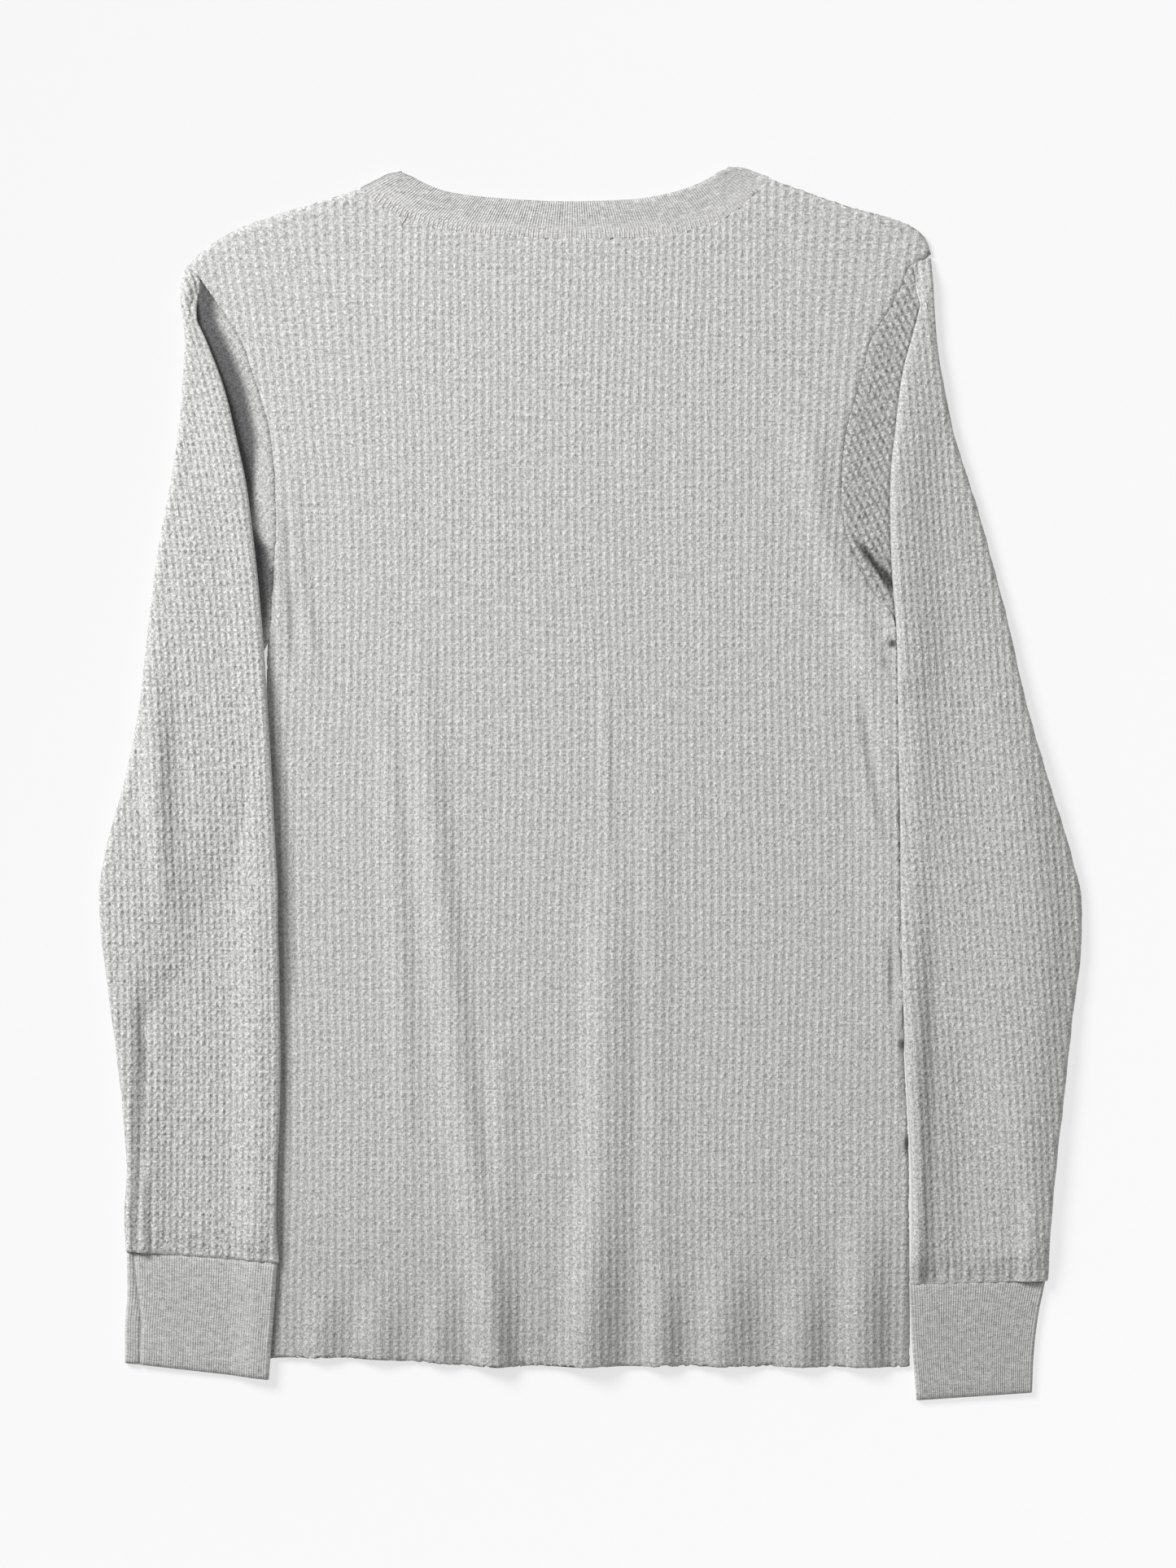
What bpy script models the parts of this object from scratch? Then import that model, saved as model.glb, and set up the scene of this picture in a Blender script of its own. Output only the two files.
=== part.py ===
"""A long-sleeved waffle-knit thermal top, laid on its front with the sleeves folded down beside the body.

Every table and function works in millimetres, seen from above: X to the right, Y towards the collar,
Z up from the surface that the top lies on. The meshes are written in metres.
"""

import math
from collections import namedtuple

import bmesh
import bpy
from mathutils import Vector

MM = 0.001

# The cloth's wall, and the heights of the layers' middles as they lie on each other.
WALL = 1.5
SEAM_GAP = 0.3
LAYER = WALL + SEAM_GAP
FLOOR_LAYER = WALL / 2
BACK_LAYER = FLOOR_LAYER + LAYER
FLAP_LAYER = BACK_LAYER + LAYER

WAFFLE_GREY = (0.54, 0.54, 0.53, 1.0)
RIB_GREY = (0.50, 0.50, 0.49, 1.0)

Edge = namedtuple("Edge", "y x")
Line = namedtuple("Line", "x y")
Band = namedtuple("Band", "station inner_x inner_y seam_x seam_y")
Fold = namedtuple("Fold", "top_x top_y mid_x low_x low_y half_width height runs_out")
Wave = namedtuple("Wave", "x top_y half_width height")
Section = namedtuple("Section", "y inner outer stage rise")
Cuff = namedtuple("Cuff", "down inner outer")
Slant = namedtuple("Slant", "inner_y outer_y")

# The body's sides, from the hem up the side seam and the armhole to the tip of the shoulder.
LEFT_SIDE = [
    Edge(-338.0, -191.4),
    Edge(-200.0, -190.2),
    Edge(-20.0, -189.2),
    Edge(62.0, -189.4),
    Edge(91.0, -188.0),
    Edge(125.0, -186.0),
    Edge(150.0, -184.4),
    Edge(173.0, -185.2),
    Edge(206.0, -188.2),
    Edge(225.0, -193.4),
    Edge(246.0, -200.0),
    Edge(260.0, -205.3),
    Edge(275.0, -214.4),
    Edge(287.0, -223.0),
    Edge(299.0, -232.0),
    Edge(302.6, -236.8),
]
RIGHT_SIDE = [
    Edge(-342.7, 186.9),
    Edge(-234.0, 186.6),
    Edge(-162.0, 183.6),
    Edge(-66.0, 180.8),
    Edge(53.0, 178.8),
    Edge(82.0, 178.2),
    Edge(97.0, 177.0),
    Edge(113.0, 165.2),
    Edge(134.0, 154.6),
    Edge(148.0, 150.3),
    Edge(162.0, 147.5),
    Edge(180.0, 147.9),
    Edge(208.0, 150.8),
    Edge(231.0, 157.5),
    Edge(259.0, 164.7),
    Edge(278.0, 175.7),
    Edge(292.0, 183.0),
    Edge(303.0, 187.5),
    Edge(310.2, 199.6),
]

# Shares of the height from the hem to the shoulder's tip: where the underarm is, and how far up the hem's
# waves need close rows. The rows above the underarm come closer together towards the tip.
UNDERARM_HEIGHT = 0.658
HEM_ZONE = 0.17
HEM_ROWS = 8
BODY_ROWS = 6
ARMHOLE_ROWS = 12
ARMHOLE_EASE = 1.7

LEFT_SHOULDER = [
    Line(-236.8, 302.6),
    Line(-222.5, 315.5),
    Line(-208.2, 324.1),
    Line(-193.8, 329.8),
    Line(-165.0, 338.9),
    Line(-134.9, 348.2),
]
RIGHT_SHOULDER = [
    Line(104.5, 354.2),
    Line(121.7, 348.3),
    Line(150.3, 338.2),
    Line(179.0, 330.0),
    Line(189.0, 325.8),
    Line(196.0, 319.6),
    Line(199.6, 310.2),
]
HEM = [
    Line(-191.4, -338.0),
    Line(-150.0, -337.2),
    Line(-108.0, -339.4),
    Line(-50.0, -342.4),
    Line(35.0, -342.2),
    Line(186.9, -342.7),
]

# The back of the neckband, from the left shoulder round to the right one.
BACK_BAND = [
    Band(0, -111.6, 360.4, -134.6, 348.5),
    Band(1, -100.6, 353.4, -120.0, 337.8),
    Band(2, -82.5, 346.6, -101.0, 329.0),
    Band(3, -50.4, 342.8, -60.5, 322.1),
    Band(4, -14.0, 341.2, -15.0, 319.6),
    Band(5, 21.3, 342.2, 30.0, 320.4),
    Band(6, 50.0, 347.0, 63.8, 325.7),
    Band(7, 68.0, 354.0, 85.0, 335.6),
    Band(8, 81.5, 363.0, 104.2, 354.5),
]
FRONT_DROP_INNER = 86.0
FRONT_DROP_SEAM = 97.8
BACK_BAND_STEPS = 24
FRONT_BAND_STEPS = 16
SHOULDER_STEPS = 11
FRONT_SHOULDER_STEPS = 5
BAND_SHARES = (0.0, 0.3, 0.6, 1.0)

# Soft ridges of the back panel. One that runs out reaches the hem at its full height.
BACK_FOLDS = [
    Fold(-106.0, 118.0, -83.0, -55.0, -343.0, 15.0, 2.4, True),
    Fold(-124.0, 100.0, -113.0, -106.0, -250.0, 11.0, 1.1, False),
    Fold(7.5, 90.0, 9.5, -1.7, -343.0, 13.0, 2.4, True),
    Fold(37.0, 60.0, 36.0, 39.4, -343.0, 17.0, 0.9, True),
    Fold(119.0, 236.0, 152.0, 178.0, 22.0, 20.0, 3.8, False),
    Fold(144.0, 72.0, 158.0, 171.0, -36.0, 8.0, 1.0, False),
    Fold(-177.0, 200.0, -176.0, -180.0, 76.0, 10.0, 2.0, False),
    Fold(-177.0, 160.0, -168.0, -160.0, 56.0, 8.0, 1.2, False),
]
SIDE_FLAT = 3.0
SIDE_HELD_DOWN = 24.0
HEM_WAVES = [
    Wave(-155.6, -296.0, 15.0, 2.2),
    Wave(-119.7, -290.0, 15.0, 2.0),
    Wave(-84.0, -294.0, 14.0, 2.0),
    Wave(-55.0, -250.0, 15.0, 2.2),
    Wave(-1.7, -240.0, 16.0, 3.0),
    Wave(39.4, -276.0, 13.0, 2.4),
    Wave(78.6, -262.0, 15.0, 4.2),
    Wave(124.0, -280.0, 14.0, 3.2),
    Wave(160.0, -245.0, 13.0, 4.4),
]

# Each sleeve from the shoulder tip down, measured outwards from the garment's middle line.
# inner is the folded edge that lies beside the body, outer the sleeve's silhouette, and rise how much
# further up the outer side is cut. The stages say how the sleeve lies there.
PLAIN, HUMPED, FOLDED = range(3)
LEFT_SLEEVE = [
    Section(300.5, 236.0, 238.6, PLAIN, 0.8),
    Section(287.5, 236.6, 240.9, HUMPED, 0.0),
    Section(270.0, 230.6, 239.0, FOLDED, 0.0),
    Section(259.0, 225.4, 238.2, FOLDED, 0.0),
    Section(229.0, 214.4, 240.0, FOLDED, 0.0),
    Section(206.0, 208.7, 241.9, FOLDED, 0.0),
    Section(173.0, 201.6, 247.0, FOLDED, 0.0),
    Section(150.0, 198.6, 251.5, FOLDED, 0.0),
    Section(118.0, 195.0, 256.4, FOLDED, 0.0),
    Section(78.0, 191.6, 261.0, FOLDED, 0.0),
    Section(49.0, 189.8, 264.2, FOLDED, 0.0),
    Section(5.0, 187.0, 272.5, FOLDED, 0.0),
    Section(-42.0, 184.6, 285.0, FOLDED, 0.0),
    Section(-66.0, 183.4, 288.6, FOLDED, 0.0),
    Section(-86.0, 183.4, 287.6, FOLDED, 0.0),
    Section(-106.0, 182.8, 285.2, FOLDED, 0.0),
    Section(-130.0, 182.4, 282.2, FOLDED, 0.0),
    Section(-162.0, 181.9, 278.0, FOLDED, 0.0),
    Section(-202.0, 182.6, 273.8, FOLDED, 0.0),
    Section(-230.0, 184.0, 272.4, FOLDED, 2.0),
    Section(-260.0, 184.4, 273.8, FOLDED, 5.0),
    Section(-282.0, 182.8, 272.8, FOLDED, 6.4),
]
RIGHT_SLEEVE = [
    Section(305.5, 197.6, 200.2, PLAIN, 2.2),
    Section(292.0, 196.6, 201.4, HUMPED, 0.4),
    Section(276.0, 192.8, 202.3, FOLDED, 0.0),
    Section(259.0, 188.2, 203.4, FOLDED, 0.0),
    Section(240.0, 183.2, 206.3, FOLDED, 0.0),
    Section(206.0, 178.8, 213.0, FOLDED, 0.0),
    Section(180.0, 176.2, 221.0, FOLDED, 0.0),
    Section(160.0, 175.8, 227.4, FOLDED, 0.0),
    Section(134.0, 176.4, 234.6, FOLDED, 0.0),
    Section(113.0, 177.6, 240.2, FOLDED, 0.0),
    Section(97.0, 179.0, 244.4, FOLDED, 0.0),
    Section(81.0, 179.8, 248.0, FOLDED, 0.0),
    Section(48.0, 180.4, 255.4, FOLDED, 0.0),
    Section(5.0, 181.2, 267.6, FOLDED, 0.0),
    Section(-42.0, 181.8, 282.0, FOLDED, 0.0),
    Section(-70.0, 182.2, 288.2, FOLDED, 0.0),
    Section(-90.0, 182.6, 288.4, FOLDED, 0.0),
    Section(-138.0, 184.0, 283.0, FOLDED, 0.0),
    Section(-190.0, 186.6, 277.4, FOLDED, 0.0),
    Section(-210.0, 187.6, 275.0, FOLDED, 0.0),
    Section(-234.0, 188.6, 272.6, FOLDED, 0.0),
    Section(-262.0, 188.6, 270.2, FOLDED, 1.0),
    Section(-294.6, 187.6, 268.6, FOLDED, 2.0),
]
SLEEVE_STEP = 16.0

# Where the underarm seam runs beneath each folded sleeve, from the underarm out to the elbow. Below the
# elbow it follows the silhouette, with the seam's allowance inside the tube.
LEFT_UNDERARM_SEAM = [
    Edge(83.5, 188.8),
    Edge(62.0, 200.0),
    Edge(40.0, 212.0),
    Edge(5.0, 228.0),
    Edge(-42.0, 252.0),
    Edge(-86.0, 280.0),
    Edge(-106.0, 285.0),
]
LEFT_ELBOW = -106.0
RIGHT_UNDERARM_SEAM = [
    Edge(86.9, 178.2),
    Edge(66.0, 190.0),
    Edge(44.0, 202.0),
    Edge(5.0, 218.0),
    Edge(-42.0, 230.0),
    Edge(-90.0, 240.0),
    Edge(-138.0, 250.0),
    Edge(-190.0, 270.0),
    Edge(-210.0, 275.0),
]
RIGHT_ELBOW = -210.0
ELBOW_START = -20.0
ELBOW_END = 40.0

# The sleeves' own folds, along their top layers.
LEFT_SLEEVE_FOLDS = [
    Fold(256.0, 100.0, 251.0, 244.0, -110.0, 14.0, 1.2, False),
    Fold(210.0, 40.0, 204.0, 200.0, -276.0, 16.0, 1.0, True),
    Fold(262.0, -90.0, 259.0, 258.0, -276.0, 9.0, 0.9, True),
]
RIGHT_SLEEVE_FOLDS = [
    Fold(236.0, 120.0, 248.0, 250.0, -290.0, 18.0, 1.5, True),
    Fold(193.0, 130.0, 190.0, 192.0, -290.0, 9.0, 0.9, True),
]
SLEEVE_PUFF = 1.5
OUTER_CALM = 0.7
OUTER_CALM_REACH = 22.0
INNER_RIDGE = 1.9
INNER_RIDGE_IN = 3.0
INNER_RIDGE_REACH = 20.0
OUTER_REACH = 3.0
NARROW_FLAP = 6.0
FULL_FLAP = 45.0
LEAST_FLAP = 6.6
HUMP_REACH = 2.6
HUMP_WIDTH = 10.0
STEP_START = 4.0
STEP_REACH = 22.0
HIDDEN_FULL = 12.0
HIDDEN_SLOPE = 20.0
ALLOWANCE_FULL = 2.5
ALLOWANCE_SLOPE = 12.0
SEAM_ALLOWANCE = 4.0

LEFT_CUFF = [
    Cuff(0.0, 183.9, 272.6),
    Cuff(0.35, 185.4, 272.2),
    Cuff(0.7, 187.3, 273.6),
    Cuff(1.0, 188.8, 273.6),
]
LEFT_CUFF_TOP = Slant(-282.5, -276.1)
LEFT_CUFF_END = Slant(-350.4, -341.0)
RIGHT_CUFF = [
    Cuff(0.0, 187.6, 267.4),
    Cuff(0.35, 188.5, 262.8),
    Cuff(0.7, 190.0, 260.4),
    Cuff(1.0, 191.6, 259.6),
]
RIGHT_CUFF_TOP = Slant(-295.1, -293.1)
RIGHT_CUFF_END = Slant(-362.8, -358.4)
CUFF_PUFF = 0.8
CUFF_ROWS = 5


def mixed(a, b, share):
    return a + (b - a) * share


def smoothstep(low, high, value):
    """0 below low, 1 above high, and a soft slope between them."""
    t = min(1.0, max(0.0, (value - low) / (high - low)))
    return t * t * (3 - 2 * t)


def ridge(distance, half_width):
    """The height of a rounded ridge of height 1, at a distance from its crest."""
    return 0.5 * (1 + math.cos(math.pi * min(1.0, abs(distance) / half_width)))


def through(rows, key, value, at):
    """Reads a table's column at any place: a curve through its rows that never overshoots them."""
    rows = sorted(rows, key=lambda row: getattr(row, key))
    places = [getattr(row, key) for row in rows]
    values = [getattr(row, value) for row in rows]
    at = min(max(at, places[0]), places[-1])
    slopes = [(values[i + 1] - values[i]) / (places[i + 1] - places[i]) for i in range(len(rows) - 1)]
    tangents = [slopes[0]]
    for before, after in zip(slopes, slopes[1:]):
        turns_back = before * after <= 0
        tangents.append(0.0 if turns_back else 2 * before * after / (before + after))
    tangents.append(slopes[-1])
    i = max(k for k in range(len(rows) - 1) if places[k] <= at)
    span = places[i + 1] - places[i]
    t = (at - places[i]) / span
    start = (1 + 2 * t) * (1 - t) ** 2 * values[i] + t * (1 - t) ** 2 * span * tangents[i]
    end = t * t * (3 - 2 * t) * values[i + 1] + t * t * (t - 1) * span * tangents[i + 1]
    return start + end


def ridge_of(fold, x, y):
    """How far one fold lifts the cloth at a place."""
    t = (fold.top_y - y) / (fold.top_y - fold.low_y)
    along = min(1.0, max(0.0, t))
    bow = fold.mid_x - (fold.top_x + fold.low_x) / 2
    crest = mixed(fold.top_x, fold.low_x, along) + 4 * bow * along * (1 - along)
    strength = smoothstep(0.0, 0.35, t)
    if not fold.runs_out:
        strength *= 1 - smoothstep(0.65, 1.0, t)
    return fold.height * strength * ridge(x - crest, fold.half_width)


def back_lift(x, y):
    """How far the folds and the hem's waves lift the back panel. Its sides stay down at their seams."""
    lift = sum(ridge_of(fold, x, y) for fold in BACK_FOLDS)
    for wave in HEM_WAVES:
        strength = smoothstep(0.0, 1.0, (wave.top_y - y) / (wave.top_y - HEM[0].y))
        lift += wave.height * strength * ridge(x - wave.x, wave.half_width)
    from_side = min(x - through(LEFT_SIDE, "y", "x", y), through(RIGHT_SIDE, "y", "x", y) - x)
    return lift * smoothstep(SIDE_FLAT, SIDE_HELD_DOWN, from_side)


def material(name, colour, roughness):
    made = bpy.data.materials.new(name)
    made.use_nodes = True
    shader = made.node_tree.nodes["Principled BSDF"]
    shader.inputs["Base Color"].default_value = colour
    shader.inputs["Roughness"].default_value = roughness
    shader.inputs["Metallic"].default_value = 0.0
    return made


def cloth(name, rows, finish, collection):
    """A piece of cloth from rows of points on its middle surface, with its wall from a Solidify."""
    sheet = bmesh.new()
    columns = len(rows[0]) - 1
    bmesh.ops.create_grid(sheet, x_segments=columns, y_segments=len(rows) - 1, size=1.0)
    for vertex in sheet.verts:
        column = round((vertex.co.x + 1) / 2 * columns)
        row = round((vertex.co.y + 1) / 2 * (len(rows) - 1))
        vertex.co = Vector(rows[row][column]) * MM
    bmesh.ops.remove_doubles(sheet, verts=sheet.verts, dist=0.01 * MM)
    bmesh.ops.recalc_face_normals(sheet, faces=sheet.faces)
    mesh = bpy.data.meshes.new(name)
    sheet.to_mesh(mesh)
    sheet.free()
    mesh.materials.append(finish)
    piece = bpy.data.objects.new(name, mesh)
    collection.objects.link(piece)
    thickness = piece.modifiers.new("wall", "SOLIDIFY")
    thickness.thickness = WALL * MM
    thickness.offset = 0.0
    thickness.use_even_offset = True
    return piece


def curve_points(table, steps):
    """A line of the table, cut into steps of equal width."""
    first, last = table[0].x, table[-1].x
    places = [mixed(first, last, i / steps) for i in range(steps + 1)]
    return [Line(x, through(table, "x", "y", x)) for x in places]


def back_band_ends(station):
    """The inner and the seam end of the back neckband at a station."""
    inner = Line(*[through(BACK_BAND, "station", key, station) for key in ("inner_x", "inner_y")])
    seam = Line(*[through(BACK_BAND, "station", key, station) for key in ("seam_x", "seam_y")])
    return inner, seam


def front_band_ends(share):
    """The inner and the seam end of the front neckband: two round arcs below the shoulders."""
    turn = math.pi * share
    across = (1 - math.cos(turn)) / 2
    first, last = BACK_BAND[0], BACK_BAND[-1]
    inner = Line(
        mixed(first.inner_x, last.inner_x, across),
        mixed(first.inner_y, last.inner_y, across) - FRONT_DROP_INNER * math.sin(turn),
    )
    seam = Line(
        mixed(first.seam_x, last.seam_x, across),
        mixed(first.seam_y, last.seam_y, across) - FRONT_DROP_SEAM * math.sin(turn),
    )
    return inner, seam


def beyond(inner, seam, gap):
    """The point that lies a gap past the band's seam end."""
    length = math.hypot(seam.x - inner.x, seam.y - inner.y)
    share = 1 + gap / length
    return Line(mixed(inner.x, seam.x, share), mixed(inner.y, seam.y, share))


def back_neck():
    stations = [8 * i / BACK_BAND_STEPS for i in range(1, BACK_BAND_STEPS)]
    return [beyond(*back_band_ends(station), SEAM_GAP) for station in stations]


def front_neck():
    shares = [i / FRONT_BAND_STEPS for i in range(1, FRONT_BAND_STEPS)]
    return [beyond(*front_band_ends(share), SEAM_GAP) for share in shares]


def armhole_heights():
    """The panels' rows from the underarm up, closer together towards the tip of the shoulder."""
    left_over = 1 - UNDERARM_HEIGHT
    return [1 - left_over * (1 - i / ARMHOLE_ROWS) ** ARMHOLE_EASE for i in range(ARMHOLE_ROWS + 1)]


def side_point(side, height):
    y = mixed(side[0].y, side[-1].y, height)
    return Line(through(side, "y", "x", y), y)


def panel_rows(top, heights, layer):
    """A body panel's middle surface, from its hem up to its shoulders and neck.

    Its columns stand straight below the neck, and beside it they share out the width to each side.
    """
    neck = LEFT_SHOULDER[-1].x, RIGHT_SHOULDER[0].x
    rows = []
    for height in heights:
        left = side_point(LEFT_SIDE, height).x
        right = side_point(RIGHT_SIDE, height).x
        row = []
        for point in top:
            below = mixed(HEM[0].x, HEM[-1].x, (point.x - top[0].x) / (top[-1].x - top[0].x))
            if point.x < neck[0]:
                x = beside_neck(point.x, top[0].x, neck[0], left, height)
            elif point.x > neck[1]:
                x = beside_neck(point.x, top[-1].x, neck[1], right, height)
            else:
                x = mixed(below, point.x, height)
            y = mixed(through(HEM, "x", "y", below), point.y, height)
            row.append((x, y, layer(x, y)))
        rows.append(row)
    return rows


def beside_neck(x, tip, neck, side, height):
    """Where a shoulder column stands at a height, between the panel's side and the column at the neck."""
    share = (neck - LEFT_SHOULDER[0].x) / (RIGHT_SHOULDER[-1].x - LEFT_SHOULDER[0].x)
    column = mixed(mixed(HEM[0].x, HEM[-1].x, share), neck, height)
    return mixed(side, column, (x - tip) / (neck - tip))


def back_layer(x, y):
    return BACK_LAYER + back_lift(x, y)


def front_layer(x, y):
    return FLOOR_LAYER


def back_panel(finish, collection):
    left = curve_points(LEFT_SHOULDER, SHOULDER_STEPS)
    right = curve_points(RIGHT_SHOULDER, SHOULDER_STEPS)
    heights = [HEM_ZONE * i / HEM_ROWS for i in range(HEM_ROWS)]
    heights += [mixed(HEM_ZONE, UNDERARM_HEIGHT, i / BODY_ROWS) for i in range(BODY_ROWS)]
    heights += armhole_heights()
    rows = panel_rows(left + back_neck() + right, heights, back_layer)
    cloth("back_panel", rows, finish, collection)


def front_panel(finish, collection):
    left = curve_points(LEFT_SHOULDER, FRONT_SHOULDER_STEPS)
    right = curve_points(RIGHT_SHOULDER, FRONT_SHOULDER_STEPS)
    heights = [0.0, UNDERARM_HEIGHT / 2] + armhole_heights()
    rows = panel_rows(left + front_neck() + right, heights, front_layer)
    cloth("front_panel", rows, finish, collection)


def neckband(finish, collection):
    """One band all round the neck, folded over at both shoulders: its front lies below its back."""
    rounds = []
    for i in range(BACK_BAND_STEPS + 1):
        rounds.append((*back_band_ends(8 * i / BACK_BAND_STEPS), BACK_LAYER))
    rounds += shoulder_turn(rounds[-1], 1.0)
    for i in range(FRONT_BAND_STEPS, -1, -1):
        rounds.append((*front_band_ends(i / FRONT_BAND_STEPS), FLOOR_LAYER))
    rounds += reversed(shoulder_turn(rounds[0], -1.0))
    rounds.append(rounds[0])
    rows = []
    for share in BAND_SHARES:
        row = []
        for inner, seam, height in rounds:
            row.append((mixed(inner.x, seam.x, share), mixed(inner.y, seam.y, share), height))
        rows.append(row)
    cloth("neckband", rows, finish, collection)


def shoulder_turn(end, side):
    """The band's fold at a shoulder: from its back layer down to its front one, bulging outwards."""
    inner, seam, _ = end
    length = math.hypot(seam.x - inner.x, seam.y - inner.y)
    out_x = side * abs(seam.y - inner.y) / length
    out_y = abs(seam.x - inner.x) / length
    points = []
    for degrees in (45, 90, 135):
        bulge = LAYER / 2 * math.sin(math.radians(degrees))
        height = FLOOR_LAYER + LAYER / 2 * (1 + math.cos(math.radians(degrees)))
        moved = [Line(point.x + out_x * bulge, point.y + out_y * bulge) for point in (inner, seam)]
        points.append((*moved, height))
    return points


def half_turn(out, start, end, reach, steps):
    """Half an ellipse in a section, from one height round to the other."""
    points = []
    for i in range(steps + 1):
        angle = math.pi * i / steps
        up = (start + end) / 2 + (start - end) / 2 * math.cos(angle)
        points.append((out + reach * math.sin(angle), up))
    return points


def straight(start, end, steps):
    """The points between two ends, without the ends themselves."""
    return [(mixed(start[0], end[0], i / steps), mixed(start[1], end[1], i / steps)) for i in range(1, steps)]


# Where a section's long runs have their points, from the silhouette in to the folded edge.
RUN = (0.07, 0.2, 0.36, 0.52, 0.68, 0.82, 0.93)


class SleeveSection:
    """One section across a folded sleeve, as a chain of (outwards, up) points.

    The chain starts at the back armhole seam, runs out beneath the flap to the outer crease, comes back
    in as the flap's lower side, turns at the inner edge, runs out as the layer that shows, turns down at
    the silhouette and comes back in on the floor to the front armhole seam.
    """

    HIDDEN = 2
    TURN = 4
    CREASE = 3

    def __init__(self, y, table, elbow, seam, body_edge, folds):
        self.y = y
        self.outer = through(table, "y", "outer", y) - WALL / 2
        self.inner = min(through(table, "y", "inner", y) + WALL / 2, self.outer - LEAST_FLAP)
        self.stage = through(table, "y", "stage", y)
        self.rise = through(table, "y", "rise", y)
        self.seam = seam
        if y < 0:
            self.seam = min(seam, self.outer - OUTER_REACH - SEAM_ALLOWANCE)
        self.below_elbow = smoothstep(ELBOW_START, ELBOW_END, elbow - y)
        self.body_edge = body_edge
        self.folds = folds
        self.fullness = smoothstep(NARROW_FLAP, FULL_FLAP, self.outer - self.inner)

    def under(self, out):
        """The flap's lower side: on the sleeve's hidden layers, over the body's edge, or on the floor."""
        full = mixed(HIDDEN_FULL, ALLOWANCE_FULL, self.below_elbow)
        slope = mixed(HIDDEN_SLOPE, ALLOWANCE_SLOPE, self.below_elbow)
        hidden = smoothstep(self.seam - full - slope, self.seam - full, out)
        height = mixed(FLOOR_LAYER, FLAP_LAYER, hidden)
        if self.body_edge is not None:
            over = 1 - smoothstep(STEP_START, STEP_REACH, out - self.body_edge)
            height = max(height, mixed(FLOOR_LAYER, FLAP_LAYER, over))
        return height

    def top(self, out):
        """The layer that shows."""
        near_outer = smoothstep(self.outer - OUTER_CALM_REACH, self.outer, out)
        puff = SLEEVE_PUFF * (1 - OUTER_CALM * near_outer)
        puff += INNER_RIDGE * ridge(out - self.inner - INNER_RIDGE_IN, INNER_RIDGE_REACH)
        puff += sum(ridge_of(fold, out, self.y) for fold in self.folds)
        return self.under(out) + LAYER + self.fullness * puff

    def humped(self, share):
        """Above the flap the sleeve is two layers, folded at its silhouette. Towards the flap the back
        one climbs to a crest before it turns down."""
        reach = mixed(LAYER / 2, HUMP_REACH, share)
        crest, top = self.outer - reach, BACK_LAYER + 2 * LAYER * share
        foot = max(self.outer - HUMP_WIDTH, self.seam + 2 * SEAM_GAP)
        start, end = (self.seam, BACK_LAYER), (self.seam, FLOOR_LAYER)
        chain = [start] + straight(start, (foot, BACK_LAYER), self.HIDDEN)
        climb = 2 * len(RUN) + self.CREASE + self.TURN + 2
        for i in range(climb):
            chain.append((mixed(foot, crest, i / climb), mixed(BACK_LAYER, top, smoothstep(0, climb, i))))
        chain += half_turn(crest, top, FLOOR_LAYER, reach, self.TURN)
        return chain + straight(chain[-1], end, self.HIDDEN) + [end]

    def folded(self):
        """The whole flap, over the layers beneath it."""
        shoulder = self.outer - OUTER_REACH
        start, crease = (self.seam, BACK_LAYER), shoulder - SEAM_GAP
        chain = [start] + straight(start, (crease, BACK_LAYER), self.HIDDEN)
        chain += half_turn(crease, BACK_LAYER, FLAP_LAYER, LAYER / 2, self.CREASE)
        bend = (self.top(self.inner) - self.under(self.inner)) / 2
        edge = self.inner + bend
        below = [mixed(crease, edge, share) for share in RUN]
        above = [mixed(shoulder, edge, share) for share in reversed(RUN)]
        chain += [(out, self.under(out)) for out in below]
        chain += half_turn(edge, self.under(edge), self.top(edge), -bend, self.TURN)
        chain += [(out, self.top(out)) for out in above]
        chain += half_turn(shoulder, self.top(shoulder), FLOOR_LAYER, OUTER_REACH, self.TURN)
        end = (self.seam, FLOOR_LAYER)
        return chain + straight(chain[-1], end, self.HIDDEN) + [end]

    def chain(self):
        if self.stage <= HUMPED:
            return self.humped(self.stage)
        if self.stage >= FOLDED:
            return self.folded()
        share = self.stage - HUMPED
        pairs = zip(self.humped(1.0), self.folded())
        return [(mixed(a[0], b[0], share), mixed(a[1], b[1], share)) for a, b in pairs]

    def row(self, side):
        start = min(self.seam, self.inner)
        points = []
        for out, up in self.chain():
            share = (out - start) / (self.outer - start)
            points.append((side * out, self.y + self.rise * share, up))
        return points


def sleeve(name, side, table, edges, underarm_seam, elbow, lies_on_body, folds, finish, collection):
    underarm = side_point(edges, UNDERARM_HEIGHT).y
    rows = []
    for height in reversed(armhole_heights()[:-1]):
        point = side_point(edges, height)
        seam = side * point.x + SEAM_GAP
        y = point.y - SEAM_GAP * (height - UNDERARM_HEIGHT) / (1 - UNDERARM_HEIGHT)
        rows.append(SleeveSection(y, table, elbow, seam, None, folds).row(side))
    steps = round((underarm - table[-1].y) / SLEEVE_STEP)
    for i in range(1, steps + 1):
        y = mixed(underarm, table[-1].y, i / steps)
        seam = through(underarm_seam, "y", "x", y)
        body_edge = side * through(edges, "y", "x", y) if lies_on_body else None
        rows.append(SleeveSection(y, table, elbow, seam, body_edge, folds).row(side))
    cloth(name, rows, finish, collection)


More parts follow.
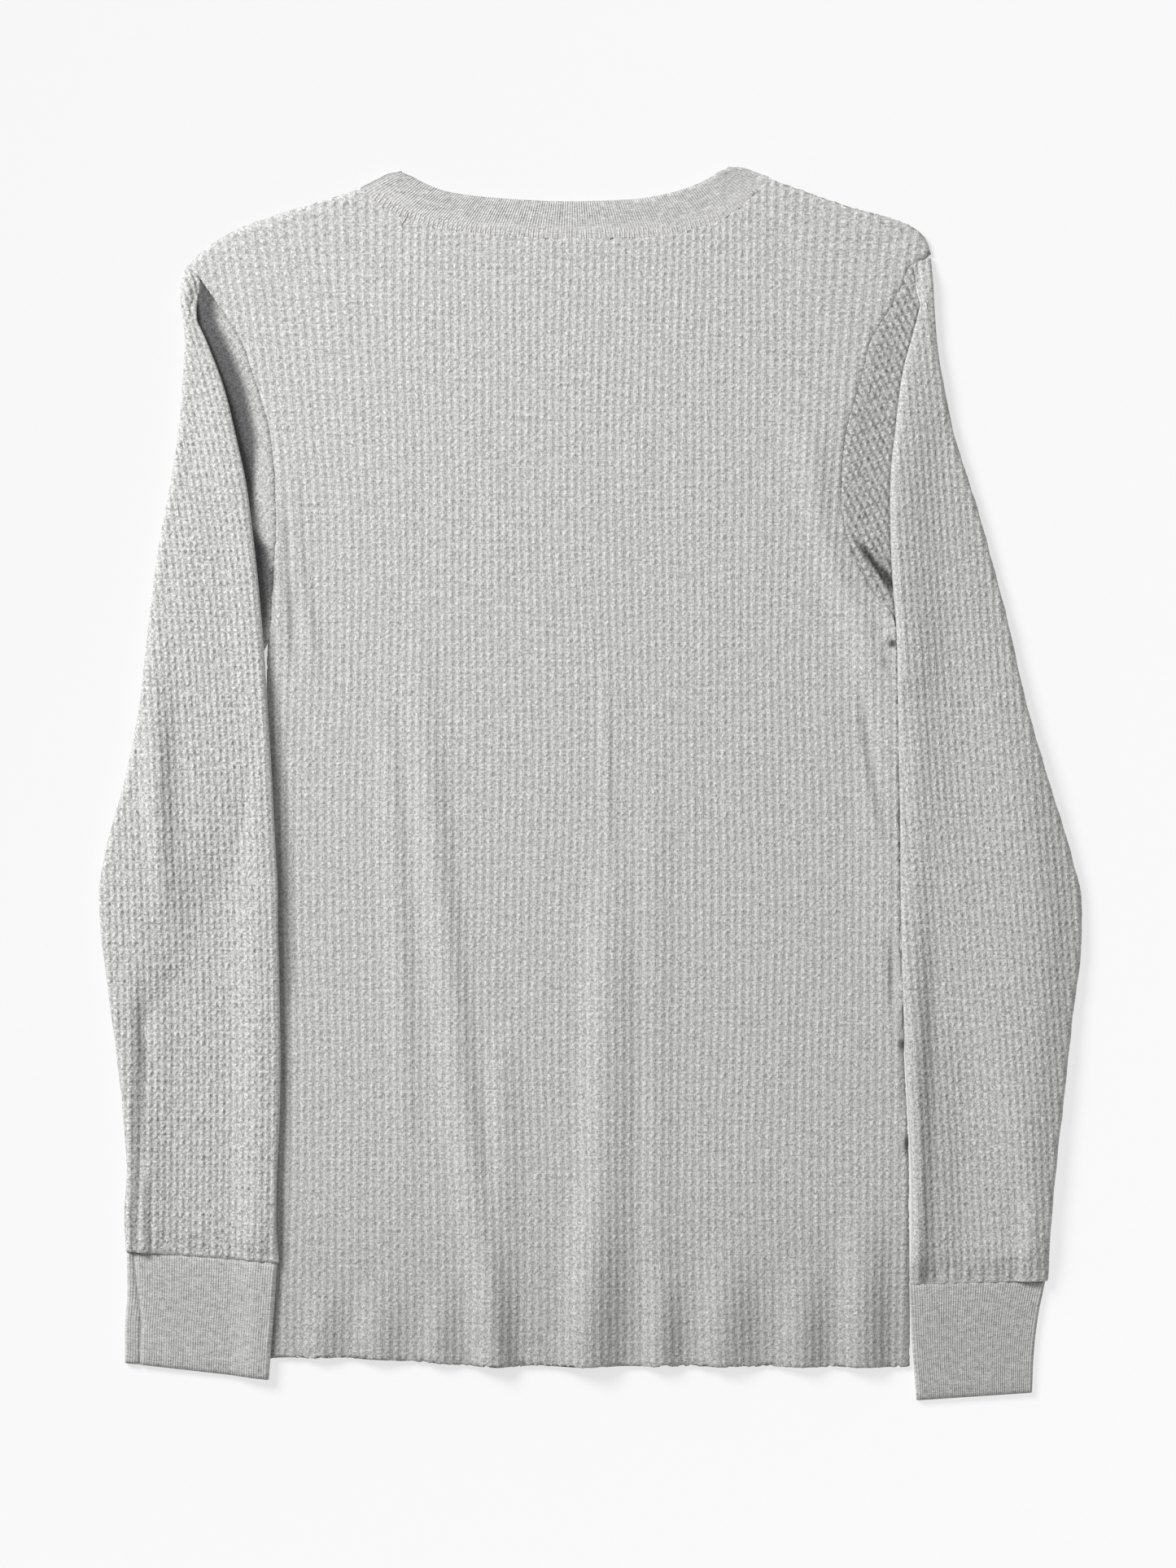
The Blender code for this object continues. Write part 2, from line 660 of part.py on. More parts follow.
def cuff(name, side, table, top, end, edges, lies_on_body, finish, collection):
    """A rib cuff: a closed tube, flattened into two layers."""
    rows = []
    for i in range(CUFF_ROWS + 1):
        down = i / CUFF_ROWS
        inner = through(table, "down", "inner", down) + WALL / 2
        outer = through(table, "down", "outer", down) - WALL / 2
        inner_y = mixed(top.inner_y, end.inner_y, down)
        outer_y = mixed(top.outer_y, end.outer_y, down)
        body_edge = side * through(edges, "y", "x", inner_y) if lies_on_body else None
        row = []
        for out, up in cuff_chain(inner, outer, body_edge):
            share = (out - inner) / (outer - inner)
            row.append((side * out, mixed(inner_y, outer_y, share), up))
        rows.append(row)
    cloth(name, rows, finish, collection)


def cuff_chain(inner, outer, body_edge):
    """A section across a cuff: in along its lower layer, and back out along its upper one."""
    def under(out):
        if body_edge is None:
            return FLOOR_LAYER
        over = 1 - smoothstep(STEP_START, STEP_REACH, out - body_edge)
        return mixed(FLOOR_LAYER, FLAP_LAYER, over)

    rise = LAYER + CUFF_PUFF
    left, right = inner + rise / 2, outer - rise / 2
    places = [mixed(right, left, share) for share in (0.0, *RUN)]
    chain = [(out, under(out)) for out in places]
    chain += half_turn(left, under(left), under(left) + rise, -rise / 2, 4)
    chain += [(out, under(out) + rise) for out in reversed(places[1:])]
    return chain + half_turn(right, under(right) + rise, under(right), rise / 2, 4)


def main():
    for thing in list(bpy.data.objects):
        bpy.data.objects.remove(thing, do_unlink=True)
    collection = bpy.data.collections.new("thermal_top")
    bpy.context.scene.collection.children.link(collection)
    waffle = material("waffle_knit", WAFFLE_GREY, 0.95)
    rib = material("rib_knit", RIB_GREY, 0.95)
    front_panel(waffle, collection)
    back_panel(waffle, collection)
    neckband(rib, collection)
    sleeve("sleeve_left", -1, LEFT_SLEEVE, LEFT_SIDE, LEFT_UNDERARM_SEAM, LEFT_ELBOW, True,
           LEFT_SLEEVE_FOLDS, waffle, collection)
    sleeve("sleeve_right", 1, RIGHT_SLEEVE, RIGHT_SIDE, RIGHT_UNDERARM_SEAM, RIGHT_ELBOW, False,
           RIGHT_SLEEVE_FOLDS, waffle, collection)
    cuff("cuff_left", -1, LEFT_CUFF, LEFT_CUFF_TOP, LEFT_CUFF_END, LEFT_SIDE, True, rib, collection)
    cuff("cuff_right", 1, RIGHT_CUFF, RIGHT_CUFF_TOP, RIGHT_CUFF_END, RIGHT_SIDE, False, rib, collection)


main()
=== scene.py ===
# %% [markdown]
# # A waffle-knit thermal top, laid flat
# A thermal top is sewn from seven pieces: a back, a front, two sleeves, and rib trims at the neck and the
# wrists. This one lies on its front, with its sleeves folded down beside the body, so its back shows.
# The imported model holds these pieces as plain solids, in the right place and size. This script gives each
# piece the surface of its knit, its sewing and its yarn, on the same form.
# All the sizes below are in millimetres, seen from above: X to the right, Y towards the collar, Z up.

from collections import namedtuple

import bpy
import numpy as np
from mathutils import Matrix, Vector


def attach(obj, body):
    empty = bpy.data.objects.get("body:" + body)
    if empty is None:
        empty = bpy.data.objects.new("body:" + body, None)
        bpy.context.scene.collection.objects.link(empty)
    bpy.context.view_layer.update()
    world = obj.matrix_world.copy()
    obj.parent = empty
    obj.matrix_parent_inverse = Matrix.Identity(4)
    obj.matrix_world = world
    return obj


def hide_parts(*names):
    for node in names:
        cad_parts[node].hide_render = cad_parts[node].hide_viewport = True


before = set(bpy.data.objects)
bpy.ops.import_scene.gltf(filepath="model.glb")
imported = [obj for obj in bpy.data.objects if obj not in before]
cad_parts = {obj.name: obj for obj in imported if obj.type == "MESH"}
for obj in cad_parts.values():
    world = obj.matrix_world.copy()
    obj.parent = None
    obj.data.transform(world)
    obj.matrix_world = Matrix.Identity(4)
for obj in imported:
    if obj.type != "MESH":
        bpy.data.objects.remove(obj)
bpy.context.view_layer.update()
MM = 0.001

# %% [markdown]
# ## The layers
# Laid flat, the top is a stack of cloth. The front panel touches the surface, the back panel lies on it,
# and the folded sleeve adds two more layers. Each height is the middle of one layer's wall.

# %% Wall and layers
WALL = 1.5
SEAM_GAP = 0.3
SEWN_GAP = 0.06
LAYER = WALL + SEAM_GAP
FLOOR_LAYER = WALL / 2
BACK_LAYER = FLOOR_LAYER + LAYER
FLAP_LAYER = BACK_LAYER + LAYER
print("layers at", FLOOR_LAYER, BACK_LAYER, FLAP_LAYER)

# %% [markdown]
# ## Tables and curves
# A paper pattern is a few measured points with smooth curves through them. Here a table holds such points
# and a curve that never overshoots joins them. Blender's own curves could do this, but a function that
# reads a table at any place also lets a whole grid of cloth be worked out at once, with numpy.

# %% Tables and curves through them
def table_of(kind, *rows):
    """A table of named rows, one for each tuple."""
    return [kind(*row) for row in rows]


def mixed(a, b, share):
    """A share of the way from a to b."""
    return a + (b - a) * share


def smoothstep(low, high, value):
    """0 below low, 1 above high, and a soft slope between them."""
    t = np.clip((value - low) / (high - low), 0.0, 1.0)
    return t * t * (3 - 2 * t)


def faded(low, high, value):
    """1 below low, 0 above high, and a soft slope between them."""
    return 1 - smoothstep(low, high, value)


def ridge(distance, half_width):
    """The height of a rounded ridge of height 1, at a distance from its crest."""
    return 0.5 * (1 + np.cos(np.pi * np.minimum(1.0, np.abs(distance) / half_width)))


def reader(rows, key, value):
    """A function that reads one column of a table at any place, on a curve that never overshoots its rows."""
    rows = sorted(rows, key=lambda row: getattr(row, key))
    places = np.array([getattr(row, key) for row in rows])
    values = np.array([getattr(row, value) for row in rows], float)
    slopes = np.diff(values) / np.diff(places)
    before, after = slopes[:-1], slopes[1:]
    same_way = before * after > 0
    total = np.where(same_way, before + after, 1.0)
    inner = np.where(same_way, 2 * before * after / total, 0.0)
    tangents = np.concatenate([slopes[:1], inner, slopes[-1:]])

    def read(at):
        at = np.clip(at, places[0], places[-1])
        i = np.clip(np.searchsorted(places, at, side="right") - 1, 0, len(places) - 2)
        span = places[i + 1] - places[i]
        t = (at - places[i]) / span
        start = (1 + 2 * t) * (1 - t) ** 2 * values[i] + t * (1 - t) ** 2 * span * tangents[i]
        end = t * t * (3 - 2 * t) * values[i + 1] + t * t * (t - 1) * span * tangents[i + 1]
        return start + end

    return read


def at(rows, y, value="x"):
    """One column of a table, read at the heights y."""
    return reader(rows, "y", value)(y)


print("a slope from 0 to 1 in four steps:", smoothstep(0.0, 1.0, np.linspace(0.0, 1.0, 5)).round(3))

# %% [markdown]
# ## The outline
# The body is a long panel with straight sides, armholes that curve in, slanting shoulders and a neck. Its
# two sides don't mirror each other, because it was laid out by hand, so each edge has its own table. The
# neckband is read in the same way, and the panels' neck edges follow from it.

# %% The body's outline
Edge = namedtuple("Edge", "y x")
Line = namedtuple("Line", "x y")
Band = namedtuple("Band", "station inner_x inner_y seam_x seam_y")
LEFT_SIDE = table_of(
    Edge,
    (-338, -191.4), (-200, -190.2), (-20, -189.2), (62, -189.4), (91, -188), (125, -186), (150, -184.4),
    (173, -185.2), (206, -188.2), (225, -193.4), (246, -200), (260, -205.3), (275, -214.4), (287, -223),
    (299, -232), (302.6, -236.8),
)
RIGHT_SIDE = table_of(
    Edge,
    (-342.7, 186.9), (-234, 186.6), (-162, 183.6), (-66, 180.8), (53, 178.8), (82, 178.2), (97, 177),
    (113, 165.2), (134, 154.6), (148, 150.3), (162, 147.5), (180, 147.9), (208, 150.8), (231, 157.5),
    (259, 164.7), (278, 175.7), (292, 183), (303, 187.5), (310.2, 199.6),
)
UNDERARM_HEIGHT = 0.658
LEFT_UNDERARM = mixed(LEFT_SIDE[0].y, LEFT_SIDE[-1].y, UNDERARM_HEIGHT)
RIGHT_UNDERARM = mixed(RIGHT_SIDE[0].y, RIGHT_SIDE[-1].y, UNDERARM_HEIGHT)
LEFT_SHOULDER = table_of(
    Line,
    (-236.8, 302.6), (-222.5, 315.5), (-208.2, 324.1), (-193.8, 329.8), (-165, 338.9), (-134.9, 348.2),
)
RIGHT_SHOULDER = table_of(
    Line,
    (104.5, 354.2), (121.7, 348.3), (150.3, 338.2), (179, 330), (189, 325.8), (196, 319.6),
    (199.6, 310.2),
)
HEM = table_of(
    Line,
    (-191.4, -338), (-150, -337.2), (-108, -339.4), (-50, -342.4), (35, -342.2), (186.9, -342.7),
)
BACK_BAND = table_of(
    Band,
    (0, -111.6, 360.4, -134.6, 348.5), (1, -100.6, 353.4, -120, 337.8), (2, -82.5, 346.6, -101, 329),
    (3, -50.4, 342.8, -60.5, 322.1), (4, -14, 341.2, -15, 319.6), (5, 21.3, 342.2, 30, 320.4),
    (6, 50, 347, 63.8, 325.7), (7, 68, 354, 85, 335.6), (8, 81.5, 363, 104.2, 354.5),
)
FRONT_DROP_INNER, FRONT_DROP_SEAM = 86.0, 97.8
NECK_SAMPLES = 97

left_side = reader(LEFT_SIDE, "y", "x")
right_side = reader(RIGHT_SIDE, "y", "x")
left_shoulder = reader(LEFT_SHOULDER, "x", "y")
right_shoulder = reader(RIGHT_SHOULDER, "x", "y")
hem = reader(HEM, "x", "y")
band_readers = [reader(BACK_BAND, "station", key) for key in Band._fields[1:]]


def back_band_ends(station):
    """The inner and the seam end of the back neckband, as four arrays."""
    return [read(station) for read in band_readers]


def front_band_ends(share):
    """The inner and the seam end of the front neckband: two round arcs below the shoulders."""
    turn = np.pi * share
    across = (1 - np.cos(turn)) / 2
    first, last = BACK_BAND[0], BACK_BAND[-1]
    inner_x = mixed(first.inner_x, last.inner_x, across)
    inner_y = mixed(first.inner_y, last.inner_y, across) - FRONT_DROP_INNER * np.sin(turn)
    seam_x = mixed(first.seam_x, last.seam_x, across)
    seam_y = mixed(first.seam_y, last.seam_y, across) - FRONT_DROP_SEAM * np.sin(turn)
    return [inner_x, inner_y, seam_x, seam_y]


def neck_line(ends):
    """The panel's neck edge as a function of x: a seam's gap past the band."""
    inner_x, inner_y, seam_x, seam_y = ends
    share = 1 + SEWN_GAP / np.hypot(seam_x - inner_x, seam_y - inner_y)
    x, y = mixed(inner_x, seam_x, share), mixed(inner_y, seam_y, share)
    return lambda at: np.interp(at, x, y)


back_neck = neck_line(back_band_ends(np.linspace(0, BACK_BAND[-1].station, NECK_SAMPLES)))
front_neck = neck_line(front_band_ends(np.linspace(0, 1, NECK_SAMPLES)))


def top_line(x, neck):
    """The upper outline of a body panel: shoulder, neck, shoulder."""
    beside = np.where(x < 0, left_shoulder(x), right_shoulder(x))
    below_neck = (x > LEFT_SHOULDER[-1].x) & (x < RIGHT_SHOULDER[0].x)
    return np.where(below_neck, neck(x), beside)


print("the body's width at the hem in mm:", round(right_side(HEM[-1].y) - left_side(HEM[0].y), 1))

# %% [markdown]
# ## Folds
# Cloth that is laid out by hand keeps a few long soft folds. Simulation would make some, but not these:
# each fold of this top runs from a known place to another, so a table places them one by one. The large
# ones are in the imported solids too, and the shallow ones are only in the looks. A fold with a negative
# height is a crease, where less light gets in.

# %% The back panel's folds
Fold = namedtuple("Fold", "top_x top_y mid_x low_x low_y before after height runs_out")
Wave = namedtuple("Wave", "x top_y before after height")
BACK_FOLDS = table_of(
    Fold,
    (-106, 118, -83, -55, -343, 17, 14, 2.8, True),
    (-124, 100, -113, -106, -250, 13, 9, 1.4, False),
    (-53, -130, -53, -53, -296, 10, 16, 1.7, False),
    (8, -16, 8, -1.7, -343, 19, 26, 3.6, True),
    (9, 84, 9.5, 13, -70, 5, 4, 0.9, False),
    (37, 60, 36, 39.4, -343, 11, 17, 1.2, True),
    (119, 236, 152, 178, 22, 24, 20, 3.4, False),
    (158, 68, 165.5, 177.5, -56, 5, 4, -1.7, False),
    (176, -76, 175.6, 178, -150, 2.2, 2.6, -1.3, False),
    (-177, 200, -176, -180, 76, 13, 7, 2.4, False),
    (-177, 160, -168, -160, 56, 10, 6, 1.4, False),
    (-181.5, 185, -178, -173, 55, 4.5, 5, -1.8, False),
)
FOLD_FADE = 0.35
# Painted shade: how much of the colour a crease takes away for each mm of its depth.
CREASE_SHADE = 0.17
SIDE_FLAT, SIDE_HELD_DOWN = 3.0, 20.0
WAVE_FULL = 0.8
HEM_WAVES = table_of(
    Wave,
    (-159.4, -284, 12, 17, 3.1),
    (-126, -284, 15, 20, 3.3),
    (-89.6, -284, 11, 15, 3),
    (-57.5, -250, 16, 19, 5),
    (-2.6, -228, 22, 26, 5),
    (41.3, -276, 13, 15, 4.2),
    (77.7, -258, 18, 24, 5.6),
    (124, -274, 17, 17, 4.8),
    (159, -232, 16, 22, 5.8),
)


def ridge_of(fold, x, y):
    """How far one fold lifts the cloth at a place. Its two sides may differ in width."""
    t = (fold.top_y - y) / (fold.top_y - fold.low_y)
    along = np.clip(t, 0.0, 1.0)
    bow = fold.mid_x - (fold.top_x + fold.low_x) / 2
    crest = mixed(fold.top_x, fold.low_x, along) + 4 * bow * along * (1 - along)
    strength = smoothstep(0.0, FOLD_FADE, t)
    if not fold.runs_out:
        strength = strength * faded(1 - FOLD_FADE, 1.0, t)
    return fold.height * strength * ridge(x - crest, np.where(x > crest, fold.after, fold.before))


def crease_painted_shade(folds, x, y):
    """The painted shade in the creases, which are the folds of a negative height: how little light reaches
    in.
    """
    return -CREASE_SHADE * sum(ridge_of(fold, x, y) for fold in folds if fold.height < 0)


def back_lift(x, y):
    """How far the folds and the hem's waves lift the back panel. Its sides stay down at their seams."""
    lift = sum(ridge_of(fold, x, y) for fold in BACK_FOLDS)
    for wave in HEM_WAVES:
        strength = smoothstep(0.0, WAVE_FULL, (wave.top_y - y) / (wave.top_y - HEM[0].y))
        width = np.where(x > wave.x, wave.after, wave.before)
        lift = lift + wave.height * strength * ridge(x - wave.x, width)
    from_side = np.minimum(x - left_side(y), right_side(y) - x)
    return lift * smoothstep(SIDE_FLAT, SIDE_HELD_DOWN, from_side)


print("the highest wave at the hem in mm:", back_lift(np.arange(-180.0, 180.0), HEM[-1].y).max().round(1))

# %% [markdown]
# ## A shell of cloth
# A knit has a face and an inside. Blender's Solidify would copy the fine face to the inside, which nobody
# sees, and double the triangles. So each piece is worked out as a grid on the middle of its wall, its
# face takes every grid line, its inside only every few, and fans of triangles close the edge between.
# Where the outline cuts through the grid, the points beyond it are clamped onto it and merge there.
# Each point keeps its place on the flat cloth in an attribute, for the relief and the yarn to follow.

# %% Build a shell from a grid
def grid_faces(ids):
    """The faces of a grid of vertex numbers, without those that clamping has closed up."""
    corners = np.stack([ids[:-1, :-1], ids[:-1, 1:], ids[1:, 1:], ids[1:, :-1]], axis=-1)
    faces = [list(dict.fromkeys(corner)) for corner in corners.reshape(-1, 4).tolist()]
    return [face for face in faces if len(face) > 2]


def rim_faces(dense, sparse, places, turned):
    """The strip between a face's edge and the inside's: a fan for each stretch of the inside's."""
    faces = []
    for i, (start, end) in enumerate(zip(places, places[1:])):
        half = (start + end) // 2
        for k in range(start, end):
            faces.append([dense[k + 1], dense[k], sparse[i] if k < half else sparse[i + 1]])
        faces.append([dense[half], sparse[i], sparse[i + 1]])
    faces = [face for face in faces if len(set(face)) == 3]
    return [face[::-1] for face in faces] if turned else faces


def point_normals(points, faces):
    mesh = bpy.data.meshes.new("middle")
    mesh.from_pydata(points, [], faces)
    normals = np.empty(len(points) * 3)
    mesh.vertex_normals.foreach_get("vector", normals)
    bpy.data.meshes.remove(mesh)
    return normals.reshape(-1, 3)


def every(count, step):
    """The numbers of the grid lines that the inside keeps: every few, and always the last."""
    return list(range(0, count - 1, step)) + [count - 1]


def in_scene(name, data):
    """A mesh, a lamp or a camera as an object of the scene."""
    made = bpy.data.objects.new(name, data)
    bpy.context.scene.collection.objects.link(made)
    return made


def shell(name, middle, cloth, weight, steps, tube=False, pinch=None):
    """A closed shell on a grid of points, facing up where rows run up and columns to the right."""
    rows, columns = middle.shape[:2]
    flat = np.round(middle.reshape(-1, 3), 3)
    points, first, ids = np.unique(flat, axis=0, return_index=True, return_inverse=True)
    ids = ids.reshape(rows, columns)
    faces = grid_faces(ids)
    normals = point_normals(points, faces)
    kept_rows, kept_columns = every(rows, steps[0]), every(columns, steps[1])
    kept, back = np.unique(ids[np.ix_(kept_rows, kept_columns)], return_inverse=True)
    inside = len(points) + back.reshape(len(kept_rows), len(kept_columns))
    faces += [face[::-1] for face in grid_faces(inside)]
    faces += rim_faces(ids[0].tolist(), inside[0].tolist(), kept_columns, False)
    faces += rim_faces(ids[-1].tolist(), inside[-1].tolist(), kept_columns, True)
    if not tube:
        faces += rim_faces(ids[:, 0].tolist(), inside[:, 0].tolist(), kept_rows, True)
        faces += rim_faces(ids[:, -1].tolist(), inside[:, -1].tolist(), kept_rows, False)
    outer = points + normals * WALL / 2
    inner = points[kept] - normals[kept] * WALL / 2
    mesh = bpy.data.meshes.new(name)
    mesh.from_pydata(np.concatenate([outer, inner]) * MM, [], faces)
    on_cloth = np.concatenate([cloth.reshape(-1, 2), weight.reshape(-1, 1)], axis=1)[first]
    on_inside = on_cloth[kept] * (1, 1, 0)
    attribute = mesh.attributes.new("cloth", "FLOAT_VECTOR", "POINT")
    attribute.data.foreach_set("vector", np.concatenate([on_cloth, on_inside]).ravel())
    # Painted shade: how much of the colour to take away at each point, where hardly any light gets in.
    if pinch is not None:
        depth = pinch.reshape(-1)[first]
        attribute = mesh.attributes.new("pinch", "FLOAT", "POINT")
        attribute.data.foreach_set("value", np.concatenate([depth, depth[kept]]))
    return in_scene(name, mesh)


def knit_lines(low, high, pitch, shares):
    """Grid lines over a stretch: a few for each pitch, with one on every crest."""
    crests = np.arange(np.floor(low / pitch), np.ceil(high / pitch) + 1) * pitch
    return (crests[:, None] + pitch * np.array(shares)).ravel()


print("the inside of a grid of 20 lines keeps lines", every(20, 6))

# %% [markdown]
# ## Helpers for node trees
# Each surface here is described by nodes: colours and bumps in shader trees, shapes in Geometry Nodes
# trees. A tree could be drawn by hand in Blender, but a script can be read and run again. These few
# helpers keep it short: they make a node, and feed its inputs from numbers or from other nodes.

# %% Node helpers
def new_tree(name, kind, inputs, outputs):
    """A node group with named sockets. Inputs are (name, kind of value, default)."""
    tree = bpy.data.node_groups.new(name, kind)
    for label, value, default in inputs:
        socket = tree.interface.new_socket(label, in_out="INPUT", socket_type="NodeSocket" + value)
        if default is not None:
            socket.default_value = default
    for label, value in outputs:
        tree.interface.new_socket(label, in_out="OUTPUT", socket_type="NodeSocket" + value)
    return tree, tree.nodes.new("NodeGroupInput").outputs, tree.nodes.new("NodeGroupOutput").inputs


def feed(tree, socket, value):
    """Gives a node's input a value or another node's output."""
    if isinstance(value, bpy.types.NodeSocket):
        tree.links.new(value, socket)
    else:
        socket.default_value = value


def fed_node(tree, kind, settings=None, **fed):
    """A new node with its settings and some inputs, whose names have underscores for spaces."""
    made = tree.nodes.new(kind)
    for key, value in (settings or {}).items():
        setattr(made, key, value)
    for label, value in fed.items():
        feed(tree, made.inputs[label.replace("_", " ")], value)
    return made


def maths(tree, operation, *values):
    node = tree.nodes.new("ShaderNodeMath")
    node.operation = operation
    for socket, value in zip(node.inputs, values):
        feed(tree, socket, value)
    return node.outputs[0]


def times(tree, first, *others):
    for other in others:
        first = maths(tree, "MULTIPLY", first, other)
    return first


def plus(tree, first, *others):
    for other in others:
        first = maths(tree, "ADD", first, other)
    return first


def minus(tree, first, second):
    return maths(tree, "SUBTRACT", first, second)


def ranged(tree, value, low, high, to_low, to_high, smooth=True):
    node = tree.nodes.new("ShaderNodeMapRange")
    node.interpolation_type = "SMOOTHSTEP" if smooth else "LINEAR"
    for socket, given in zip(node.inputs, (value, low, high, to_low, to_high)):
        feed(tree, socket, given)
    return node.outputs[0]


def axes(tree, vector):
    return fed_node(tree, "ShaderNodeSeparateXYZ", Vector=vector).outputs


def stretched(tree, u, v, sizes):
    """A vector on the cloth, measured in units of one size across and another along."""
    across, along = maths(tree, "DIVIDE", u, sizes[0]), maths(tree, "DIVIDE", v, sizes[1])
    return fed_node(tree, "ShaderNodeCombineXYZ", X=across, Y=along).outputs[0]


def noise_at(tree, vector, detail=2.0, scale=1.0):
    return fed_node(tree, "ShaderNodeTexNoise", Vector=vector, Scale=scale, Detail=detail).outputs[0]


print("node helpers:", *(helper.__name__ for helper in (new_tree, fed_node, maths, ranged, noise_at)))

# %% [markdown]
# ## The knit's form
# Waffle knit has raised ribs along the cloth and lower bars across it, with a square pit in each cell.
# Both the mesh's relief and the finer shading follow this form, so one function writes it into either
# kind of tree, from each point's place on the flat cloth and the named sizes of the knit.

# %% The knit's form, for the relief and for the shading
FORM_INPUTS = [
    ("Rib pitch", "Float", 4.6),
    ("Rib share", "Float", 0.62),
    ("Bar pitch", "Float", 4.3),
    ("Bar height", "Float", 0.3),
    ("Knot", "Float", 0.35),
]
BAR_START, BAR_END = 0.1, 0.9
KNOT_START = 0.35
NOISE_LOW, NOISE_HIGH = 0.3, 0.7


def from_crest(tree, place, pitch):
    """0 on the crest of a repeat and 1 midway between two crests."""
    phase = maths(tree, "FRACT", plus(tree, maths(tree, "DIVIDE", place, pitch), 0.5))
    return times(tree, maths(tree, "ABSOLUTE", minus(tree, phase, 0.5)), 2.0)


def knit_form(tree, u, v, given):
    """The height of the knit from 0 to 1. A rib is tallest beside each pit, and dips where a bar joins it."""
    rib = ranged(tree, from_crest(tree, u, given["Rib pitch"]), 0.0, given["Rib share"], 1.0, 0.0)
    # This is 0 beside the middle of a pit, and 1 where a bar joins the rib.
    across = from_crest(tree, v, given["Bar pitch"])
    bar = ranged(tree, across, BAR_START, BAR_END, 0.0, 1.0)
    least = minus(tree, 1.0, given["Knot"])
    ribs = times(tree, rib, ranged(tree, across, KNOT_START, 1.0, 1.0, least))
    return plus(tree, ribs, times(tree, minus(tree, 1.0, rib), bar, given["Bar height"]))


def form_group(patch=(3.1, 3.7), most_share=0.6, pit_end=0.75):
    """The knit's form as a shading height in mm, and a mask of its pits, which hold less light and so get
    painted shade.
    """
    inputs = [
        ("Cloth", "Vector", None),
        *FORM_INPUTS,
        ("Depth", "Float", 0.6),
        ("Uneven", "Float", 0.65),
    ]
    outputs = [("Height", "Float"), ("Pit", "Float")]
    tree, given, out = new_tree("knit_form", "ShaderNodeTree", inputs, outputs)
    u, v, weight = axes(tree, given["Cloth"])
    form = knit_form(tree, u, v, given)
    noise = noise_at(tree, stretched(tree, u, v, patch))
    least = minus(tree, 1.0, given["Uneven"])
    most = plus(tree, times(tree, given["Uneven"], most_share), 1.0)
    uneven = ranged(tree, noise, NOISE_LOW, NOISE_HIGH, least, most, smooth=False)
    feed(tree, out["Height"], times(tree, form, given["Depth"], weight, uneven))
    feed(tree, out["Pit"], times(tree, ranged(tree, form, 0.0, pit_end, 1.0, 0.0), weight, uneven))
    return tree


FORM = form_group()
print("the form group has", len(FORM.nodes), "nodes")

# %% [markdown]
# ## Yarn
# Heather grey is spun from white and grey fibres, so its colour changes along every strand. The knitting
# machine lays the strand in courses, from side to side, which is why the flecks are short level streaks.
# An image texture could show it, but noise on the flat cloth's own place follows each fold and needs no
# file. One shader group makes the flecks and the loops, and each knit gives it its own sizes.

# %% The yarn group
FIBRE_SIZE = (0.8, 1.0)
CLOUD_SIZE = (14.0, 3.0)
FLECK_SHARE, FIBRE_SHARE, CLOUD_SHARE = 0.42, 0.46, 0.12
LOOP_DEPTH = 0.35


def colour_mix(tree, factor, first, second, blend="MIX"):
    """A colour between two, or with MULTIPLY the first one darkened by the second."""
    settings = {"data_type": "RGBA", "blend_type": blend}
    return fed_node(tree, "ShaderNodeMix", settings, Factor=factor, A=first, B=second).outputs["Result"]


def yarn_group():
    inputs = [
        ("Cloth", "Vector", None),
        ("Light yarn", "Color", (0.6, 0.6, 0.6, 1)),
        ("Dark yarn", "Color", (0.3, 0.3, 0.3, 1)),
        ("Fleck length", "Float", 4.0),
        ("Fleck height", "Float", 0.8),
        ("Loop width", "Float", 1.15),
        ("Course", "Float", 1.07),
        ("Spread", "Float", 0.16),
    ]
    outputs = [("Color", "Color"), ("Height", "Float")]
    tree, given, out = new_tree("heather_yarn", "ShaderNodeTree", inputs, outputs)
    u, v, _ = axes(tree, given["Cloth"])
    flecks = noise_at(tree, stretched(tree, u, v, (given["Fleck length"], given["Fleck height"])), detail=3.0)
    fibres = noise_at(tree, stretched(tree, u, v, FIBRE_SIZE))
    clouds = noise_at(tree, stretched(tree, u, v, CLOUD_SIZE))
    blend = plus(tree, times(tree, flecks, FLECK_SHARE), times(tree, fibres, FIBRE_SHARE))
    blend = plus(tree, blend, times(tree, clouds, CLOUD_SHARE))
    low, high = minus(tree, 0.5, given["Spread"]), plus(tree, 0.5, given["Spread"])
    share = ranged(tree, blend, low, high, 0.0, 1.0, smooth=False)
    feed(tree, out["Color"], colour_mix(tree, share, given["Dark yarn"], given["Light yarn"]))
    loops = from_crest(tree, u, given["Loop width"])
    courses = from_crest(tree, v, given["Course"])
    feed(tree, out["Height"], plus(tree, times(tree, plus(tree, loops, courses), -LOOP_DEPTH), fibres))
    return tree


YARN = yarn_group()
print("the yarn group has", len(YARN.nodes), "nodes")
